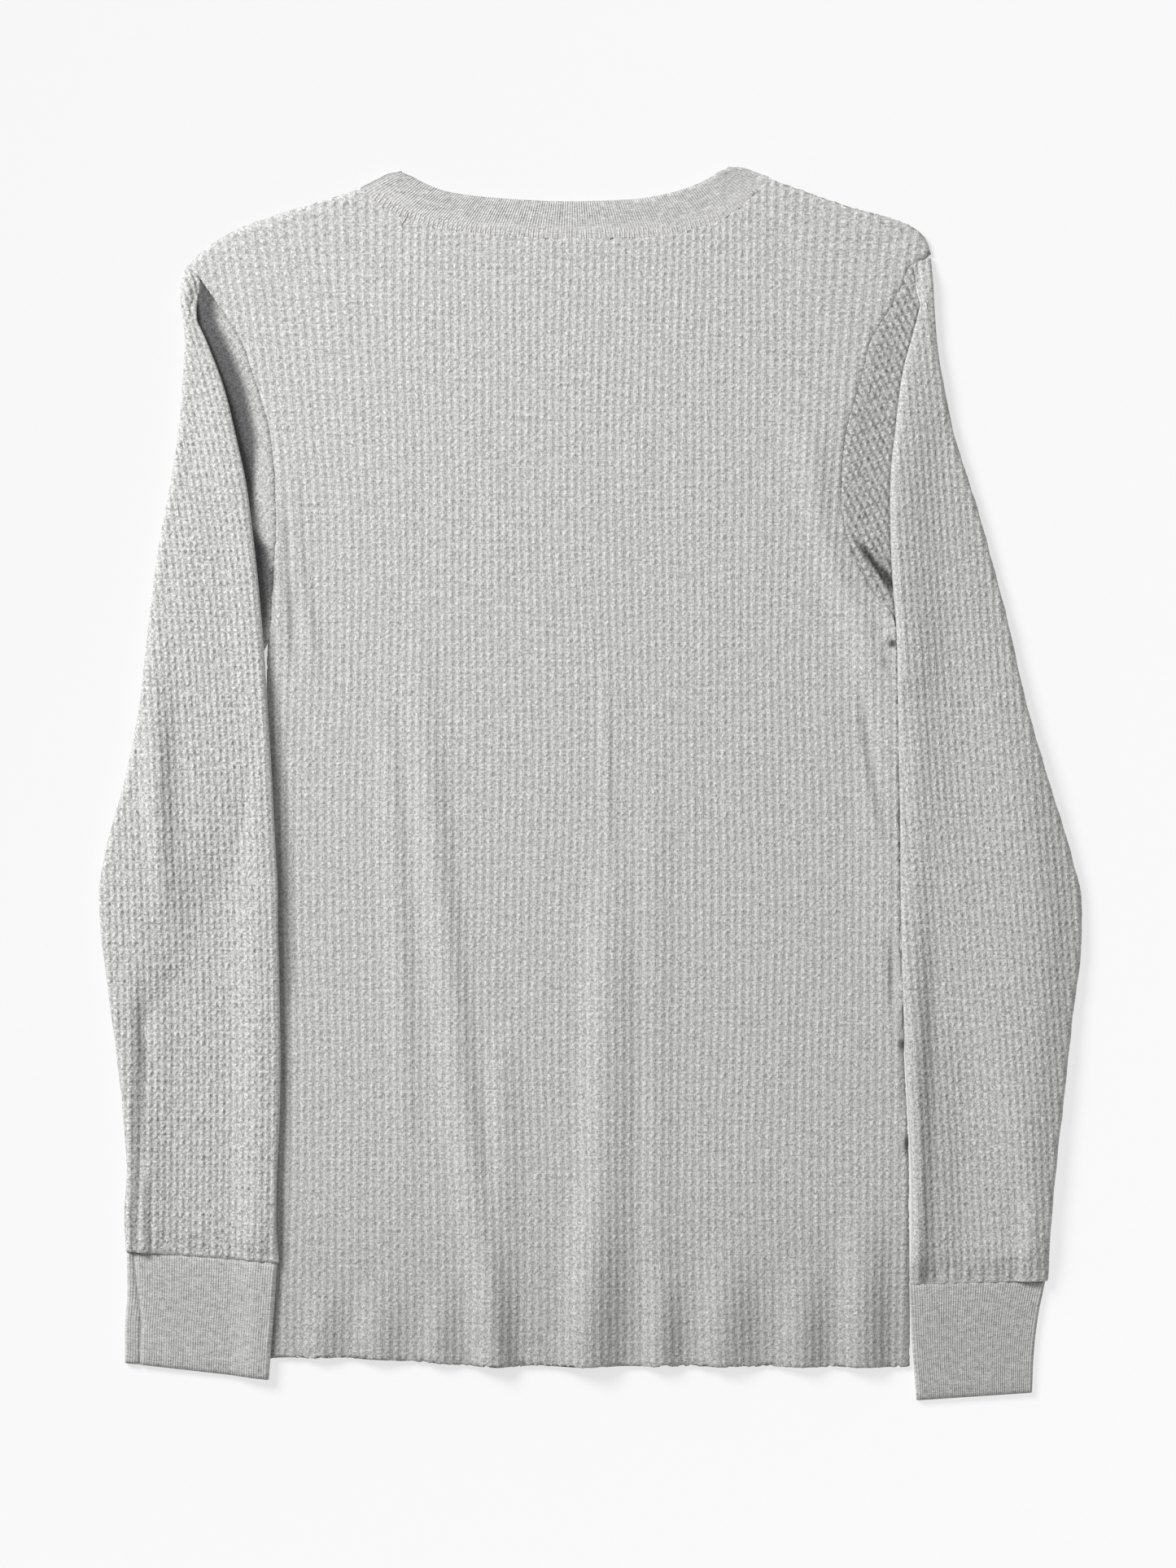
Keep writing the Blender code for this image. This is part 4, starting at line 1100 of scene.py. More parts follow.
class SleeveGrid:
    """All the sections of one folded sleeve. Every length is a column, one row for each section."""

    CREASE_STEPS = 3
    EDGE_STEPS = 12
    OUTER_STEPS = 9
    FLOOR_STEPS = 4

    def __init__(self, y, sleeve):
        self.y = y = y[:, None]
        columns = [at(sleeve.sections, y, key) for key in Section._fields[1:]]
        inner, outer, self.stage, self.rise = columns
        self.side, self.folds, self.flap = sleeve.side, sleeve.folds, sleeve.flap
        self.outer = outer - WALL / 2
        self.inner = np.minimum(inner + WALL / 2, self.outer - LEAST_FLAP)
        self.rib_line = at(sleeve.rib_line, y)
        body = self.side * at(sleeve.edges, y)
        below = at(sleeve.seam_line, y)
        below = np.where(y < 0, np.minimum(below, self.outer - OUTER_REACH - SEAM_ALLOWANCE), below)
        self.seam = np.where(y > sleeve.underarm, body + SEAM_GAP, below)
        self.below_elbow = smoothstep(ELBOW_START, ELBOW_END, sleeve.elbow - y)
        self.over_body = np.where((y <= sleeve.underarm) & sleeve.lies_on_body, body, NO_BODY)
        self.above_cuff = y - sleeve.sections[-1].y
        self.folded_share = np.clip(self.stage - HUMPED, 0.0, 1.0)
        self.wide = smoothstep(NARROW_FLAP, FULL_FLAP, self.outer - self.inner)
        self.fullness = self.wide * mixed(CUFF_FULLNESS, 1.0, smoothstep(0.0, CUFF_PULL, self.above_cuff))
        self.pucker = PUCKER * faded(*PUCKERED, self.above_cuff)
        self.foot = np.maximum(self.outer - HUMP_WIDTH, self.seam + 2 * SEAM_GAP)

    def under(self, out):
        """The flap's lower side: on the sleeve's hidden layers, over the body's edge, or on the floor."""
        full = mixed(HIDDEN_FULL, ALLOWANCE_FULL, self.below_elbow)
        slope = mixed(HIDDEN_SLOPE, ALLOWANCE_SLOPE, self.below_elbow)
        hidden = smoothstep(self.seam - full - slope, self.seam - full, out)
        over = faded(STEP_START, STEP_REACH, out - self.over_body)
        return mixed(FLOOR_LAYER, FLAP_LAYER, np.maximum(hidden, over))

    def top(self, out):
        """The layer that shows."""
        near_outer = smoothstep(self.outer - OUTER_CALM_REACH, self.outer, out)
        puff = SLEEVE_PUFF * (1 - OUTER_CALM * near_outer)
        height = at(self.flap.ridge, self.y, "value")
        puff = puff + height * ridge(out - self.inner - self.flap.ridge_in, self.flap.ridge_reach)
        puff = puff + sum(ridge_of(fold, out, self.y) for fold in self.folds if fold.height > 0)
        crease = self.wide * sum(ridge_of(fold, out, self.y) for fold in self.folds if fold.height < 0)
        sway = PUCKER_SWAY * np.sin(out / PUCKER_SWAY_LENGTH)
        pucker = self.pucker * np.sin(2 * np.pi * out / PUCKER_PITCH + sway)
        return self.under(out) + LAYER + self.fullness * puff + np.maximum(crease, DEEPEST_CREASE) + pucker

    def outer_parts(self, crest, top, reach):
        """Round the silhouette, and in along the floor to the seam."""
        turn = half_turn(crest, top, FLOOR_LAYER, reach, self.OUTER_STEPS)
        floor = mixed(crest, self.seam, np.arange(1, self.FLOOR_STEPS + 1) / self.FLOOR_STEPS)
        return [turn, (floor, FLOOR_LAYER + 0 * floor)]

    def folded(self, lines):
        """The flap: crease, lower side, folded edge, top with its knit lines, silhouette, floor."""
        shoulder = self.outer - OUTER_REACH
        crease = shoulder - SEAM_GAP
        bend = (self.top(self.inner) - self.under(self.inner)) / 2
        edge = self.inner + bend
        low, high = self.under(edge), self.top(edge)
        below = mixed(crease, edge, RUN)
        above = np.clip(lines + self.rib_line, edge, shoulder)
        return joined([
            half_turn(crease, BACK_LAYER, FLAP_LAYER, LAYER / 2, self.CREASE_STEPS),
            (below, self.under(below)),
            half_turn(edge, low, high, -bend, self.EDGE_STEPS, EDGE_SQUARENESS),
            (above, self.top(above)),
            *self.outer_parts(shoulder, self.top(shoulder), OUTER_REACH),
        ])

    def humped(self, columns):
        """Above the flap: two layers, the back one climbing to a crest before it turns down."""
        share = np.minimum(self.stage, HUMPED)
        reach = mixed(LAYER / 2, HUMP_REACH, share)
        crest, top = self.outer - reach, BACK_LAYER + 2 * LAYER * share
        climb = columns - self.OUTER_STEPS - 1 - self.FLOOR_STEPS
        along = np.arange(climb) / climb
        slope = mixed(self.foot, crest, along), mixed(BACK_LAYER, top, smoothstep(0.0, 1.0, along))
        return joined([slope, *self.outer_parts(crest, top, reach)])

    def placed(self, out, up):
        """Points in the top's own frame."""
        start = np.minimum(self.seam, self.inner)
        share = (out - start) / (self.outer - start)
        return np.stack([self.side * out, self.y + self.rise * share, up], axis=-1)


print("folded at the left underarm:", SleeveGrid(np.array([LEFT_UNDERARM]), LEFT).stage.round(1))

# %% [markdown]
# ## Making the sleeves
# The relief should run on without a break round the silhouette, so the cloth's own width is measured
# along each section, outwards from the layer that shows. It fades at the folded edge, at the cuff and
# near the surface, where the cloth is drawn tight or hidden.

# %% Make the sleeves
SLEEVE_LINES = (0.0, 0.33, 0.67)
SLEEVE_RELIEF = (0.6, 0.85)
EDGE_CALM, EDGE_BLEND = 0.7, 1.6
CUFF_BLEND = 1.5
RELIEF_START, SLEEVE_RELIEF_FULL = 0.2, 1.8


def facing_up(side, *grids):
    """A left piece is mirrored, so its rows are turned round to keep its face up."""
    return [grid[::-1] if side < 0 else grid for grid in grids]


def round_the_section(grid, out, up, top_run):
    """How far across the flat cloth each point is: along the section, with the ribs' own line as 0."""
    steps = np.hypot(np.diff(out, axis=1, prepend=out[:, :1]), np.diff(up, axis=1, prepend=up[:, :1]))
    along = np.cumsum(steps, axis=1)
    before, last = slice(top_run.start - 1, top_run.start), slice(top_run.stop - 1, top_run.stop)
    u = along - along[:, before] + out[:, before] - grid.rib_line
    u[:, top_run] = out[:, top_run] - grid.rib_line
    u[:, top_run.stop:] = u[:, last] + (along[:, top_run.stop:] - along[:, last])
    return u


def sleeve(name, laid, finish):
    """One sleeve's shell: crease, flap, folded edge, top, silhouette and the layer on the surface."""
    low, high = laid.sections[-1].y, laid.sections[0].y
    y = np.unique(np.clip(knit_lines(low, high, laid.knit.bar, SLEEVE_LINES), low, high))
    grid = SleeveGrid(y, laid)
    least, most = (grid.inner - grid.rib_line).min(), (grid.outer - grid.rib_line).max()
    lines = knit_lines(least, most, laid.knit.rib, SLEEVE_LINES)[None, :]
    out, up = grid.folded(lines)
    hump_out, hump_up = grid.humped(out.shape[1])
    out, up = mixed(hump_out, out, grid.folded_share), mixed(hump_up, up, grid.folded_share)
    first_seen = grid.CREASE_STEPS + 1 + len(RUN)
    first_line = first_seen + grid.EDGE_STEPS + 1
    top_run = slice(first_line, first_line + lines.shape[1])
    cloth = np.stack([round_the_section(grid, out, up, top_run), grid.y + 0 * out], axis=-1)
    smooth_edge = at(laid.flap.smooth_edge, grid.y, "value")
    at_edge = grid.folded_share * faded(smooth_edge, smooth_edge + EDGE_BLEND, out - grid.inner)
    weight = np.zeros_like(out)
    weight[:, first_seen:-grid.FLOOR_STEPS] = 1.0
    weight *= 1 - EDGE_CALM * at_edge
    off_floor = smoothstep(FLOOR_LAYER + RELIEF_START, FLOOR_LAYER + SLEEVE_RELIEF_FULL, up)
    weight *= off_floor * smoothstep(0.0, CUFF_BLEND, grid.above_cuff)
    # Painted shade in the sleeve's creases.
    pinch = np.zeros_like(out)
    pinch[:, top_run] = grid.wide * crease_painted_shade(grid.folds, out[:, top_run], grid.y)
    middle, cloth, weight, pinch = facing_up(laid.side, grid.placed(out, up), cloth, weight, pinch)
    piece = shell(name, middle, cloth, weight, steps=(6, 4), pinch=pinch)
    return waffled(piece, laid.knit, SLEEVE_RELIEF, finish)


SLEEVE_LEFT = sleeve("sleeve_left_knit", LEFT, WAFFLE_LEFT)
SLEEVE_RIGHT = sleeve("sleeve_right_knit", RIGHT, WAFFLE_RIGHT)

# %% [markdown]
# ## The sleeve's under layer
# Between the armhole seam and the flap's folded edge, a sliver of the sleeve's lower layer shows. The
# sleeve turns there, so its ribs run slantwise. A grid whose lines lean the same way keeps them crisp.
# At the right underarm the same layer is gathered into a tuck: two lips with a slit between them, darkened
# with painted shade.

# %% The right underarm's tuck
Lip = namedtuple("Lip", "height place half")
TUCK_TOP, TUCK_LOW = (155.1, 143.9), (176.6, 116.2)
TUCK_OPENS, TUCK_CLOSES = (-0.15, 0.3), (1.0, 1.25)
LIPS = table_of(Lip, (2.2, -3.8, 3.6), (1.2, 4.4, 3.4))
CRUMPLE = Lip(0.7, 8.0, 7.0)
CRUMPLE_WAVES = ((1.1, 0.8), (-0.5, 1.0))
SLIT_INSIDE, SLIT_OUTSIDE = (1.0, 1.2), (2.8, 2.0)
SLIT_DEPTH = 0.3


def from_tuck(x, y):
    """How far along the tuck a place is, from 0 to 1, and how far to its lower left."""
    way = np.subtract(TUCK_LOW, TUCK_TOP)
    length = np.hypot(*way)
    along = ((x - TUCK_TOP[0]) * way[0] + (y - TUCK_TOP[1]) * way[1]) / length**2
    beside = ((x - TUCK_TOP[0]) * way[1] - (y - TUCK_TOP[1]) * way[0]) / length
    return along, beside


def tuck(x, y, covered):
    """The right underarm's tuck: two lips with a deep slit between them, and crumpled cloth below it."""
    along, beside = from_tuck(x, y)
    opening = smoothstep(*TUCK_OPENS, along) * faded(*TUCK_CLOSES, along)
    lips = sum(lip.height * ridge(beside - lip.place, lip.half) for lip in LIPS)
    first, second = [np.sin(x * across + y * up) for across, up in CRUMPLE_WAVES]
    crumple = CRUMPLE.height * first * second * ridge(beside - CRUMPLE.place, CRUMPLE.half)
    inside, outside = [start + widens * along for start, widens in (SLIT_INSIDE, SLIT_OUTSIDE)]
    slit = opening * faded(inside, outside, np.abs(beside))
    return opening * (lips + crumple) * (1 - covered) - SLIT_DEPTH * slit, slit


print("length of the tuck in mm:", np.hypot(*np.subtract(TUCK_LOW, TUCK_TOP)).round(1))

# %% [markdown]
# ## Making the under layers
# This layer could be part of the sleeve's own chain, but its slanting lines would then run through all of
# it. As a shell of its own it runs in beneath the flap as far as the crease, where nobody sees it end.

# %% Make the under layers
UNDER_LEAN = {-1: 0.75, 1: 0.5}
UNDER_WEIGHT = {-1: 0.3, 1: 1.0}
UNDER_ROWS = 1.6
UNDER_HIDDEN = 12.0
COVERED = (-5.0, -1.0)
RIGHT_SHADE, RIGHT_SHADE_REACH = 0.5, (0.8, 3.0)
LEAST_SHADE, SLIT_SHADE = 0.07, 0.9


def under_layer(name, laid, finish):
    """The layer that runs from the armhole seam out to the sleeve's crease, beneath the flap."""
    side = laid.side
    grid = SleeveGrid(np.arange(laid.underarm, laid.sections[0].y, UNDER_ROWS), laid)
    end = mixed(grid.foot, grid.outer - OUTER_REACH - SEAM_GAP, grid.folded_share)
    lean = UNDER_LEAN[side] * (grid.y[-1] - grid.y)
    straight = 1 / np.hypot(1.0, UNDER_LEAN[side])
    low, high = (grid.seam - lean).min(), (grid.inner + UNDER_HIDDEN - lean).max()
    lines = knit_lines(low, high, laid.knit.rib / straight, RIB_LINES)[None, :]
    out = np.clip(lines + lean, grid.seam, np.minimum(grid.inner + UNDER_HIDDEN, end))
    out = np.concatenate([out, end], axis=1)
    up = BACK_LAYER - rolled(out - grid.seam, EDGE_ROLL, EDGE_ROLL_REACH)
    past_flap = grid.inner - out
    # Painted shade: on the left the flap's painted shadow, on the right a shade beside the flap and in the
    # tuck's slit, and a faint shade all over.
    if side < 0:
        pinch = np.maximum(left_shadow(grid.y, past_flap), LEAST_SHADE)
    else:
        lift, slit = tuck(out, grid.y, smoothstep(*COVERED, -past_flap))
        pinch = np.maximum(RIGHT_SHADE * faded(*RIGHT_SHADE_REACH, past_flap), LEAST_SHADE)
        up, pinch = up + lift, np.maximum(pinch, SLIT_SHADE * slit)
    cloth = np.stack([(out - lean) * straight, (grid.y - UNDER_LEAN[side] * out) * straight], axis=-1)
    weight = np.full_like(out, UNDER_WEIGHT[side])
    middle, cloth, pinch = facing_up(side, grid.placed(out, up), cloth, pinch)
    piece = shell(name, middle, cloth, weight, steps=(4, 4), pinch=pinch)
    return waffled(piece, laid.knit, SLEEVE_RELIEF, finish)


UNDER_LEFT = under_layer("sleeve_left_under", LEFT, WAFFLE_LEFT)
UNDER_RIGHT = under_layer("sleeve_right_under", RIGHT, WAFFLE_UNDER)

# %% [markdown]
# ## The neckband
# The neckband is one ring of fine rib, folded over at both shoulders: its front half lies beneath its
# back half. Its ribs stand across it, so the grid follows the ring by its real length.

# %% The ring of the neckband
TRIM_LINES = 3
BAND_SAMPLES = 400
TURN_STEPS = 6
TURN_INNER = 0.3
CORNER_PULL, CORNER_REACH = 2.2, 9.0
CORNER_WAY = (0.35, 0.94)


def ring_stretch(ends, start, stop, height, step):
    """Part of the ring, with its columns spaced evenly along the middle of the band."""
    fine = np.linspace(start, stop, BAND_SAMPLES)
    inner_x, inner_y, seam_x, seam_y = ends(fine)
    x, y = (inner_x + seam_x) / 2, (inner_y + seam_y) / 2
    length = np.concatenate([[0.0], np.cumsum(np.hypot(np.diff(x), np.diff(y)))])
    count = round(length[-1] / step)
    stations = np.interp(np.linspace(0.0, length[-1], count + 1), length, fine)
    return np.stack([*ends(stations), np.full(count + 1, height)], axis=-1)


def shoulder_turn(end, side):
    """The band's fold at a shoulder: from one layer to the other, bulging outwards."""
    inner_x, inner_y, seam_x, seam_y, _ = end
    length = np.hypot(seam_x - inner_x, seam_y - inner_y)
    out_x, out_y = side * abs(seam_y - inner_y) / length, abs(seam_x - inner_x) / length
    angle = np.pi * np.arange(1, TURN_STEPS) / TURN_STEPS
    bulge = LAYER / 2 * np.sin(angle)
    height = FLOOR_LAYER + LAYER / 2 * (1 + np.cos(angle))
    inner = TURN_INNER * bulge
    moved = [inner_x + out_x * inner, inner_y + out_y * inner, seam_x + out_x * bulge, seam_y + out_y * bulge]
    return np.stack([*moved, height], axis=-1)


def rounded(x, y, corner):
    """Rounds the band's corner at a shoulder: points near it draw in towards the middle of the neck."""
    away = np.hypot(x - corner.inner_x, y - corner.inner_y)
    pull = CORNER_PULL * faded(0.0, CORNER_REACH, away)
    return x - np.sign(corner.inner_x) * CORNER_WAY[0] * pull, y - CORNER_WAY[1] * pull


print("the band at the middle of the back in mm:", round(BACK_BAND[4].inner_y - BACK_BAND[4].seam_y, 1))

# %% [markdown]
# ## Making the neckband
# The ring is a closed tube of columns, so its last column is its first. Only the upper half shows and
# gets its ribs. Where the stitches press it down, the band lies a little lower and its ribs are softer.

# %% Make the neckband
BAND_ROWS = 10
EDGE_ROW = 0.992
BAND_WIDTH = 22.0
STITCHED = (0.54, 0.62)
STITCHED_CALM = 0.3
BAND_PUFF = 0.25
BAND_ROLL, BAND_ROLL_REACH = 0.08, 0.12
BAND_DEPTH = 0.3


def neckband():
    """The ring's shell, with its rib on the upper half."""
    step = TRIM_RIB / TRIM_LINES
    back = ring_stretch(back_band_ends, 0.0, BACK_BAND[-1].station, BACK_LAYER, step)
    front = ring_stretch(front_band_ends, 1.0, 0.0, FLOOR_LAYER, step)
    turns = shoulder_turn(back[-1], 1.0), shoulder_turn(back[0], -1.0)[::-1]
    ring = np.concatenate([back, turns[0], front, turns[1], back[:1]])
    share = np.insert(np.linspace(1.0, 0.0, BAND_ROWS + 1), 1, EDGE_ROW)[:, None]
    x, y = mixed(ring[:, 0], ring[:, 2], share), mixed(ring[:, 1], ring[:, 3], share)
    stitched = smoothstep(*STITCHED, share)
    upper = ring[:, 4] > (FLOOR_LAYER + BACK_LAYER) / 2
    for corner in (BACK_BAND[0], BACK_BAND[-1]):
        x, y = rounded(x, y, corner)
    puff = BAND_PUFF * (1 - stitched) - rolled(1 - share, BAND_ROLL, BAND_ROLL_REACH)
    middle = np.stack([x, y, ring[:, 4] + np.where(upper, 1.0, 0.0) * puff], axis=-1)
    u = step * np.arange(len(ring)) + 0 * share
    cloth = np.stack([u, BAND_WIDTH * share + 0 * u], axis=-1)
    weight = np.where(upper, 1 - STITCHED_CALM * stitched, 0.0)
    piece = shell("neckband_rib", middle, cloth, weight, steps=(5, 6), tube=True)
    return ribbed(piece, BAND_DEPTH, RIB_NECK)


NECKBAND = neckband()

# %% [markdown]
# ## The neck's stitches
# A coverstitch holds the neckband's lower edge down: a row of soft threads across the seam. Placing each
# by hand would take a hundred lines, so a Geometry Nodes tree walks along the seam's line and lays a
# slightly bowed thread at every step. Two loose ends of thread lie at the left shoulder.

# %% The stitch and thread trees
TUBE_SIDES = 6
STITCH_POINTS = 5
PINK_THREAD, BEIGE_THREAD = (0.74, 0.7, 0.675, 1), (0.75, 0.745, 0.725, 1)
TINT_SCALE, TWIST_SCALE = 40.0, 2500.0
TINT_LOW, TINT_HIGH = 0.35, 0.65
TWIST_DEPTH = 0.1


def round_thread(tree, curve, radius):
    """A closed tube along a curve."""
    ring = fed_node(
        tree, "GeometryNodeCurvePrimitiveCircle", Resolution=TUBE_SIDES, Radius=times(tree, radius, MM)
    )
    tube = fed_node(
        tree, "GeometryNodeCurveToMesh", Curve=curve, Profile_Curve=ring.outputs[0], Fill_Caps=True
    )
    return tube.outputs[0]


def stitch_tree():
    """A bowed thread across the line at every step, each of its own length."""
    inputs = [
        ("Geometry", "Geometry", None),
        ("Pitch", "Float", 2.8),
        ("Shortest", "Float", 5.5),
        ("Longest", "Float", 8.5),
        ("Radius", "Float", 0.24),
        ("Bow", "Float", 0.35),
        ("Seed", "Int", 5),
        ("Material", "Material", None),
    ]
    tree, given, out = new_tree("stitch_row", "GeometryNodeTree", inputs, GEOMETRY_OUT)
    line = fed_node(tree, "GeometryNodeMeshToCurve", Mesh=given["Geometry"]).outputs[0]
    pitch = times(tree, given["Pitch"], MM)
    steps = fed_node(tree, "GeometryNodeResampleCurve", {"mode": "LENGTH"}, Curve=line, Length=pitch)
    bow = fed_node(tree, "ShaderNodeCombineXYZ", Z=times(tree, given["Bow"], MM)).outputs[0]
    thread = fed_node(
        tree, "GeometryNodeCurveQuadraticBezier",
        Resolution=STITCH_POINTS, Start=(0, -0.5, 0), Middle=bow, End=(0, 0.5, 0),
    )
    tube = round_thread(tree, thread.outputs[0], given["Radius"])
    along = tree.nodes.new("GeometryNodeInputTangent").outputs[0]
    turn = fed_node(
        tree, "FunctionNodeAlignRotationToVector", {"axis": "X", "pivot_axis": "Z"}, Vector=along
    )
    length = fed_node(
        tree, "FunctionNodeRandomValue", {"data_type": "FLOAT"},
        Min=given["Shortest"], Max=given["Longest"], Seed=given["Seed"],
    )
    scale = fed_node(
        tree, "ShaderNodeCombineXYZ", X=1.0, Y=times(tree, length.outputs["Value"], MM), Z=1.0
    )
    row = fed_node(
        tree, "GeometryNodeInstanceOnPoints",
        Points=steps.outputs[0], Instance=tube, Rotation=turn.outputs[0], Scale=scale.outputs[0],
    )
    return end_tree(tree, row.outputs[0], given, out)


def laid_thread_tree():
    """A round thread along each line of a mesh."""
    inputs = [
        ("Geometry", "Geometry", None),
        ("Radius", "Float", 0.24),
        ("Material", "Material", None),
    ]
    tree, given, out = new_tree("laid_thread", "GeometryNodeTree", inputs, GEOMETRY_OUT)
    line = fed_node(tree, "GeometryNodeMeshToCurve", Mesh=given["Geometry"]).outputs[0]
    return end_tree(tree, round_thread(tree, line, given["Radius"]), given, out)


def thread_material():
    """Cotton thread: off-white that turns a little pink or beige along the row."""
    made, tree, shader = new_material("neck_thread", Roughness=0.85, Specular_IOR_Level=0.2)
    place = tree.nodes.new("ShaderNodeTexCoord").outputs["Object"]
    tint = ranged(tree, noise_at(tree, place, scale=TINT_SCALE), TINT_LOW, TINT_HIGH, 0.0, 1.0)
    feed(tree, shader["Base Color"], colour_mix(tree, tint, PINK_THREAD, BEIGE_THREAD))
    bump(tree, shader, noise_at(tree, place, detail=1.0, scale=TWIST_SCALE), TWIST_DEPTH * MM)
    return made


STITCHES = stitch_tree()
LAID_THREAD = laid_thread_tree()
THREAD = thread_material()

# %% [markdown]
# ## Sewing the neck
# The row of stitches follows the band's lower edge, from just past one shoulder to just before the other.
# The loose ends are short runs of points of their own. Both are lines without faces until their trees
# turn them into thread.

# %% Sew the neck
STITCH_STATIONS = (0.5, 7.5)
STITCH_SHARE = 0.9
STITCH_SAMPLES = 90
STITCH_HEIGHT = BACK_LAYER + WALL / 2 + 0.05
LOOSE_HEIGHT = STITCH_HEIGHT + 0.5
LOOSE_RADIUS = 0.2
LOOSE_THREADS = [
    table_of(Line, (-134, 344.4), (-130, 342.9), (-126, 340.9), (-122, 338.7), (-118.3, 336)),
    table_of(Line, (-107.3, 335.1), (-107.9, 332.8), (-109, 330.5), (-110.4, 328.6), (-111.6, 327)),
]


def polyline(name, runs):
    """A mesh of edges only: one open line for each run of points."""
    mesh = bpy.data.meshes.new(name)
    points = [point for run in runs for point in run]
    edges, start = [], 0
    for run in runs:
        edges += [(start + i, start + i + 1) for i in range(len(run) - 1)]
        start += len(run)
    mesh.from_pydata(np.array(points) * MM, edges, [])
    return in_scene(name, mesh)


def neck_stitches():
    """A line along the band's seam, turned into a row of stitches."""
    inner_x, inner_y, seam_x, seam_y = back_band_ends(np.linspace(*STITCH_STATIONS, STITCH_SAMPLES))
    x, y = mixed(inner_x, seam_x, STITCH_SHARE), mixed(inner_y, seam_y, STITCH_SHARE)
    row = polyline("neck_stitches", [np.stack([x, y, np.full_like(x, STITCH_HEIGHT)], axis=-1)])
    return worked(row, STITCHES, material=THREAD)


def loose_threads():
    runs = [[(line.x, line.y, LOOSE_HEIGHT) for line in run] for run in LOOSE_THREADS]
    return worked(polyline("loose_threads", runs), LAID_THREAD, radius=LOOSE_RADIUS, material=THREAD)


NECK_STITCHES = neck_stitches()
LOOSE = loose_threads()

# %% [markdown]
# ## The cuffs
# A cuff is a short tube of the same fine rib, flattened into two layers. It is narrower than the sleeve
# that it gathers. The left one lies partly on the body, so it steps down from it, and has a long groove.

# %% The cuffs' tables
Cuff = namedtuple("Cuff", "down inner outer")
Slant = namedtuple("Slant", "inner_y outer_y")
Groove = namedtuple("Groove", "down inner")
LEFT_CUFF = table_of(
    Cuff,
    (0, 183.9, 272.6), (0.35, 185.4, 272.2), (0.7, 187.3, 273.6), (1, 188.8, 273.6),
)
LEFT_CUFF_TOP, LEFT_CUFF_END = Slant(-282.15, -275.75), Slant(-350.4, -341.0)
LEFT_CUFF_GROOVE = table_of(Groove, (0, 268.6), (0.3, 266.5), (0.6, 264.1), (1, 265))
RIGHT_CUFF = table_of(
    Cuff,
    (0, 187.6, 267.4), (0.35, 188.5, 262.8), (0.7, 190, 260.4), (1, 191.6, 259.6),
)
RIGHT_CUFF_TOP, RIGHT_CUFF_END = Slant(-294.75, -292.75), Slant(-362.8, -358.4)
for table in (LEFT_CUFF, RIGHT_CUFF):
    print("a cuff's end is", round(table[-1].outer - table[-1].inner, 1), "mm wide")

# %% [markdown]
# ## Making the cuffs
# The section of a cuff is a closed loop: in along its lower layer, round its inner edge, out along its
# face and round its outer edge. A cylinder that is pressed flat would give the same loop, but the chain
# keeps three columns to each rib.

# %% Make the cuffs
CUFF_LENGTH = 67.0
CUFF_PUFF = 0.8
CUFF_TOP_SHARE, CUFF_END_SHARE = (-0.1, 0.2), 0.08
CUFF_LINES = 28
CUFF_EDGE_STEPS = 5
CUFF_DEPTH = 0.22
CUFF_RELIEF_FULL = 1.6
GROOVE_DEPTH, GROOVE_HALF = 1.3, 2.6


def cuff(name, side, table, top, end, edges=None, groove=None):
    """One cuff's shell. With a body's edge it steps down from it, and without one it lies on the floor."""
    down = np.linspace(1.0, 0.0, CUFF_LINES + 1)[:, None]
    inner = reader(table, "down", "inner")(down) + WALL / 2
    outer = reader(table, "down", "outer")(down) - WALL / 2
    inner_y, outer_y = mixed(top.inner_y, end.inner_y, down), mixed(top.outer_y, end.outer_y, down)
    body = side * at(edges, inner_y) if edges else NO_BODY + 0 * down

    def under(out):
        return mixed(FLAP_LAYER, FLOOR_LAYER, smoothstep(STEP_START, STEP_REACH, out - body))

    puff = smoothstep(0.0, CUFF_END_SHARE, 1 - down) * smoothstep(*CUFF_TOP_SHARE, down)
    rise = LAYER + CUFF_PUFF * puff
    left, right = inner + rise / 2, outer - rise / 2
    count = round((outer - inner).max() / (TRIM_RIB / TRIM_LINES))
    face = mixed(left, right, np.linspace(0.0, 1.0, count + 1))[:, 1:-1]
    below = mixed(right, left, np.concatenate([[0.0], RUN]))
    dent = GROOVE_DEPTH * ridge(face - reader(groove, "down", "inner")(down), GROOVE_HALF) if groove else 0.0
    out, up = joined([
        (below, under(below)),
        half_turn(left, under(left), under(left) + rise, -rise / 2, CUFF_EDGE_STEPS),
        (face, under(face) + rise - dent),
        half_turn(right, under(right) + rise, under(right), rise / 2, CUFF_EDGE_STEPS),
    ])
    share = (out - inner) / (outer - inner)
    middle = np.stack([side * out, mixed(inner_y, outer_y, share), up], axis=-1)
    column = np.arange(out.shape[1]) - below.shape[1]
    u = column * TRIM_RIB / TRIM_LINES + 0 * down
    cloth = np.stack([u, CUFF_LENGTH * (1 - down) + 0 * u], axis=-1)
    off_floor = smoothstep(FLOOR_LAYER + RELIEF_START, FLOOR_LAYER + CUFF_RELIEF_FULL, up)
    weight = np.where(column >= 0, 1.0, 0.0) * off_floor
    middle, cloth, weight = facing_up(side, middle, cloth, weight)
    piece = shell(name, middle, cloth, weight, steps=(4, 4), tube=True)
    return ribbed(piece, CUFF_DEPTH, RIB)


CUFF_LEFT = cuff(
    "cuff_left_rib", -1, LEFT_CUFF, LEFT_CUFF_TOP, LEFT_CUFF_END, edges=LEFT_SIDE, groove=LEFT_CUFF_GROOVE
)
CUFF_RIGHT = cuff("cuff_right_rib", 1, RIGHT_CUFF, RIGHT_CUFF_TOP, RIGHT_CUFF_END)
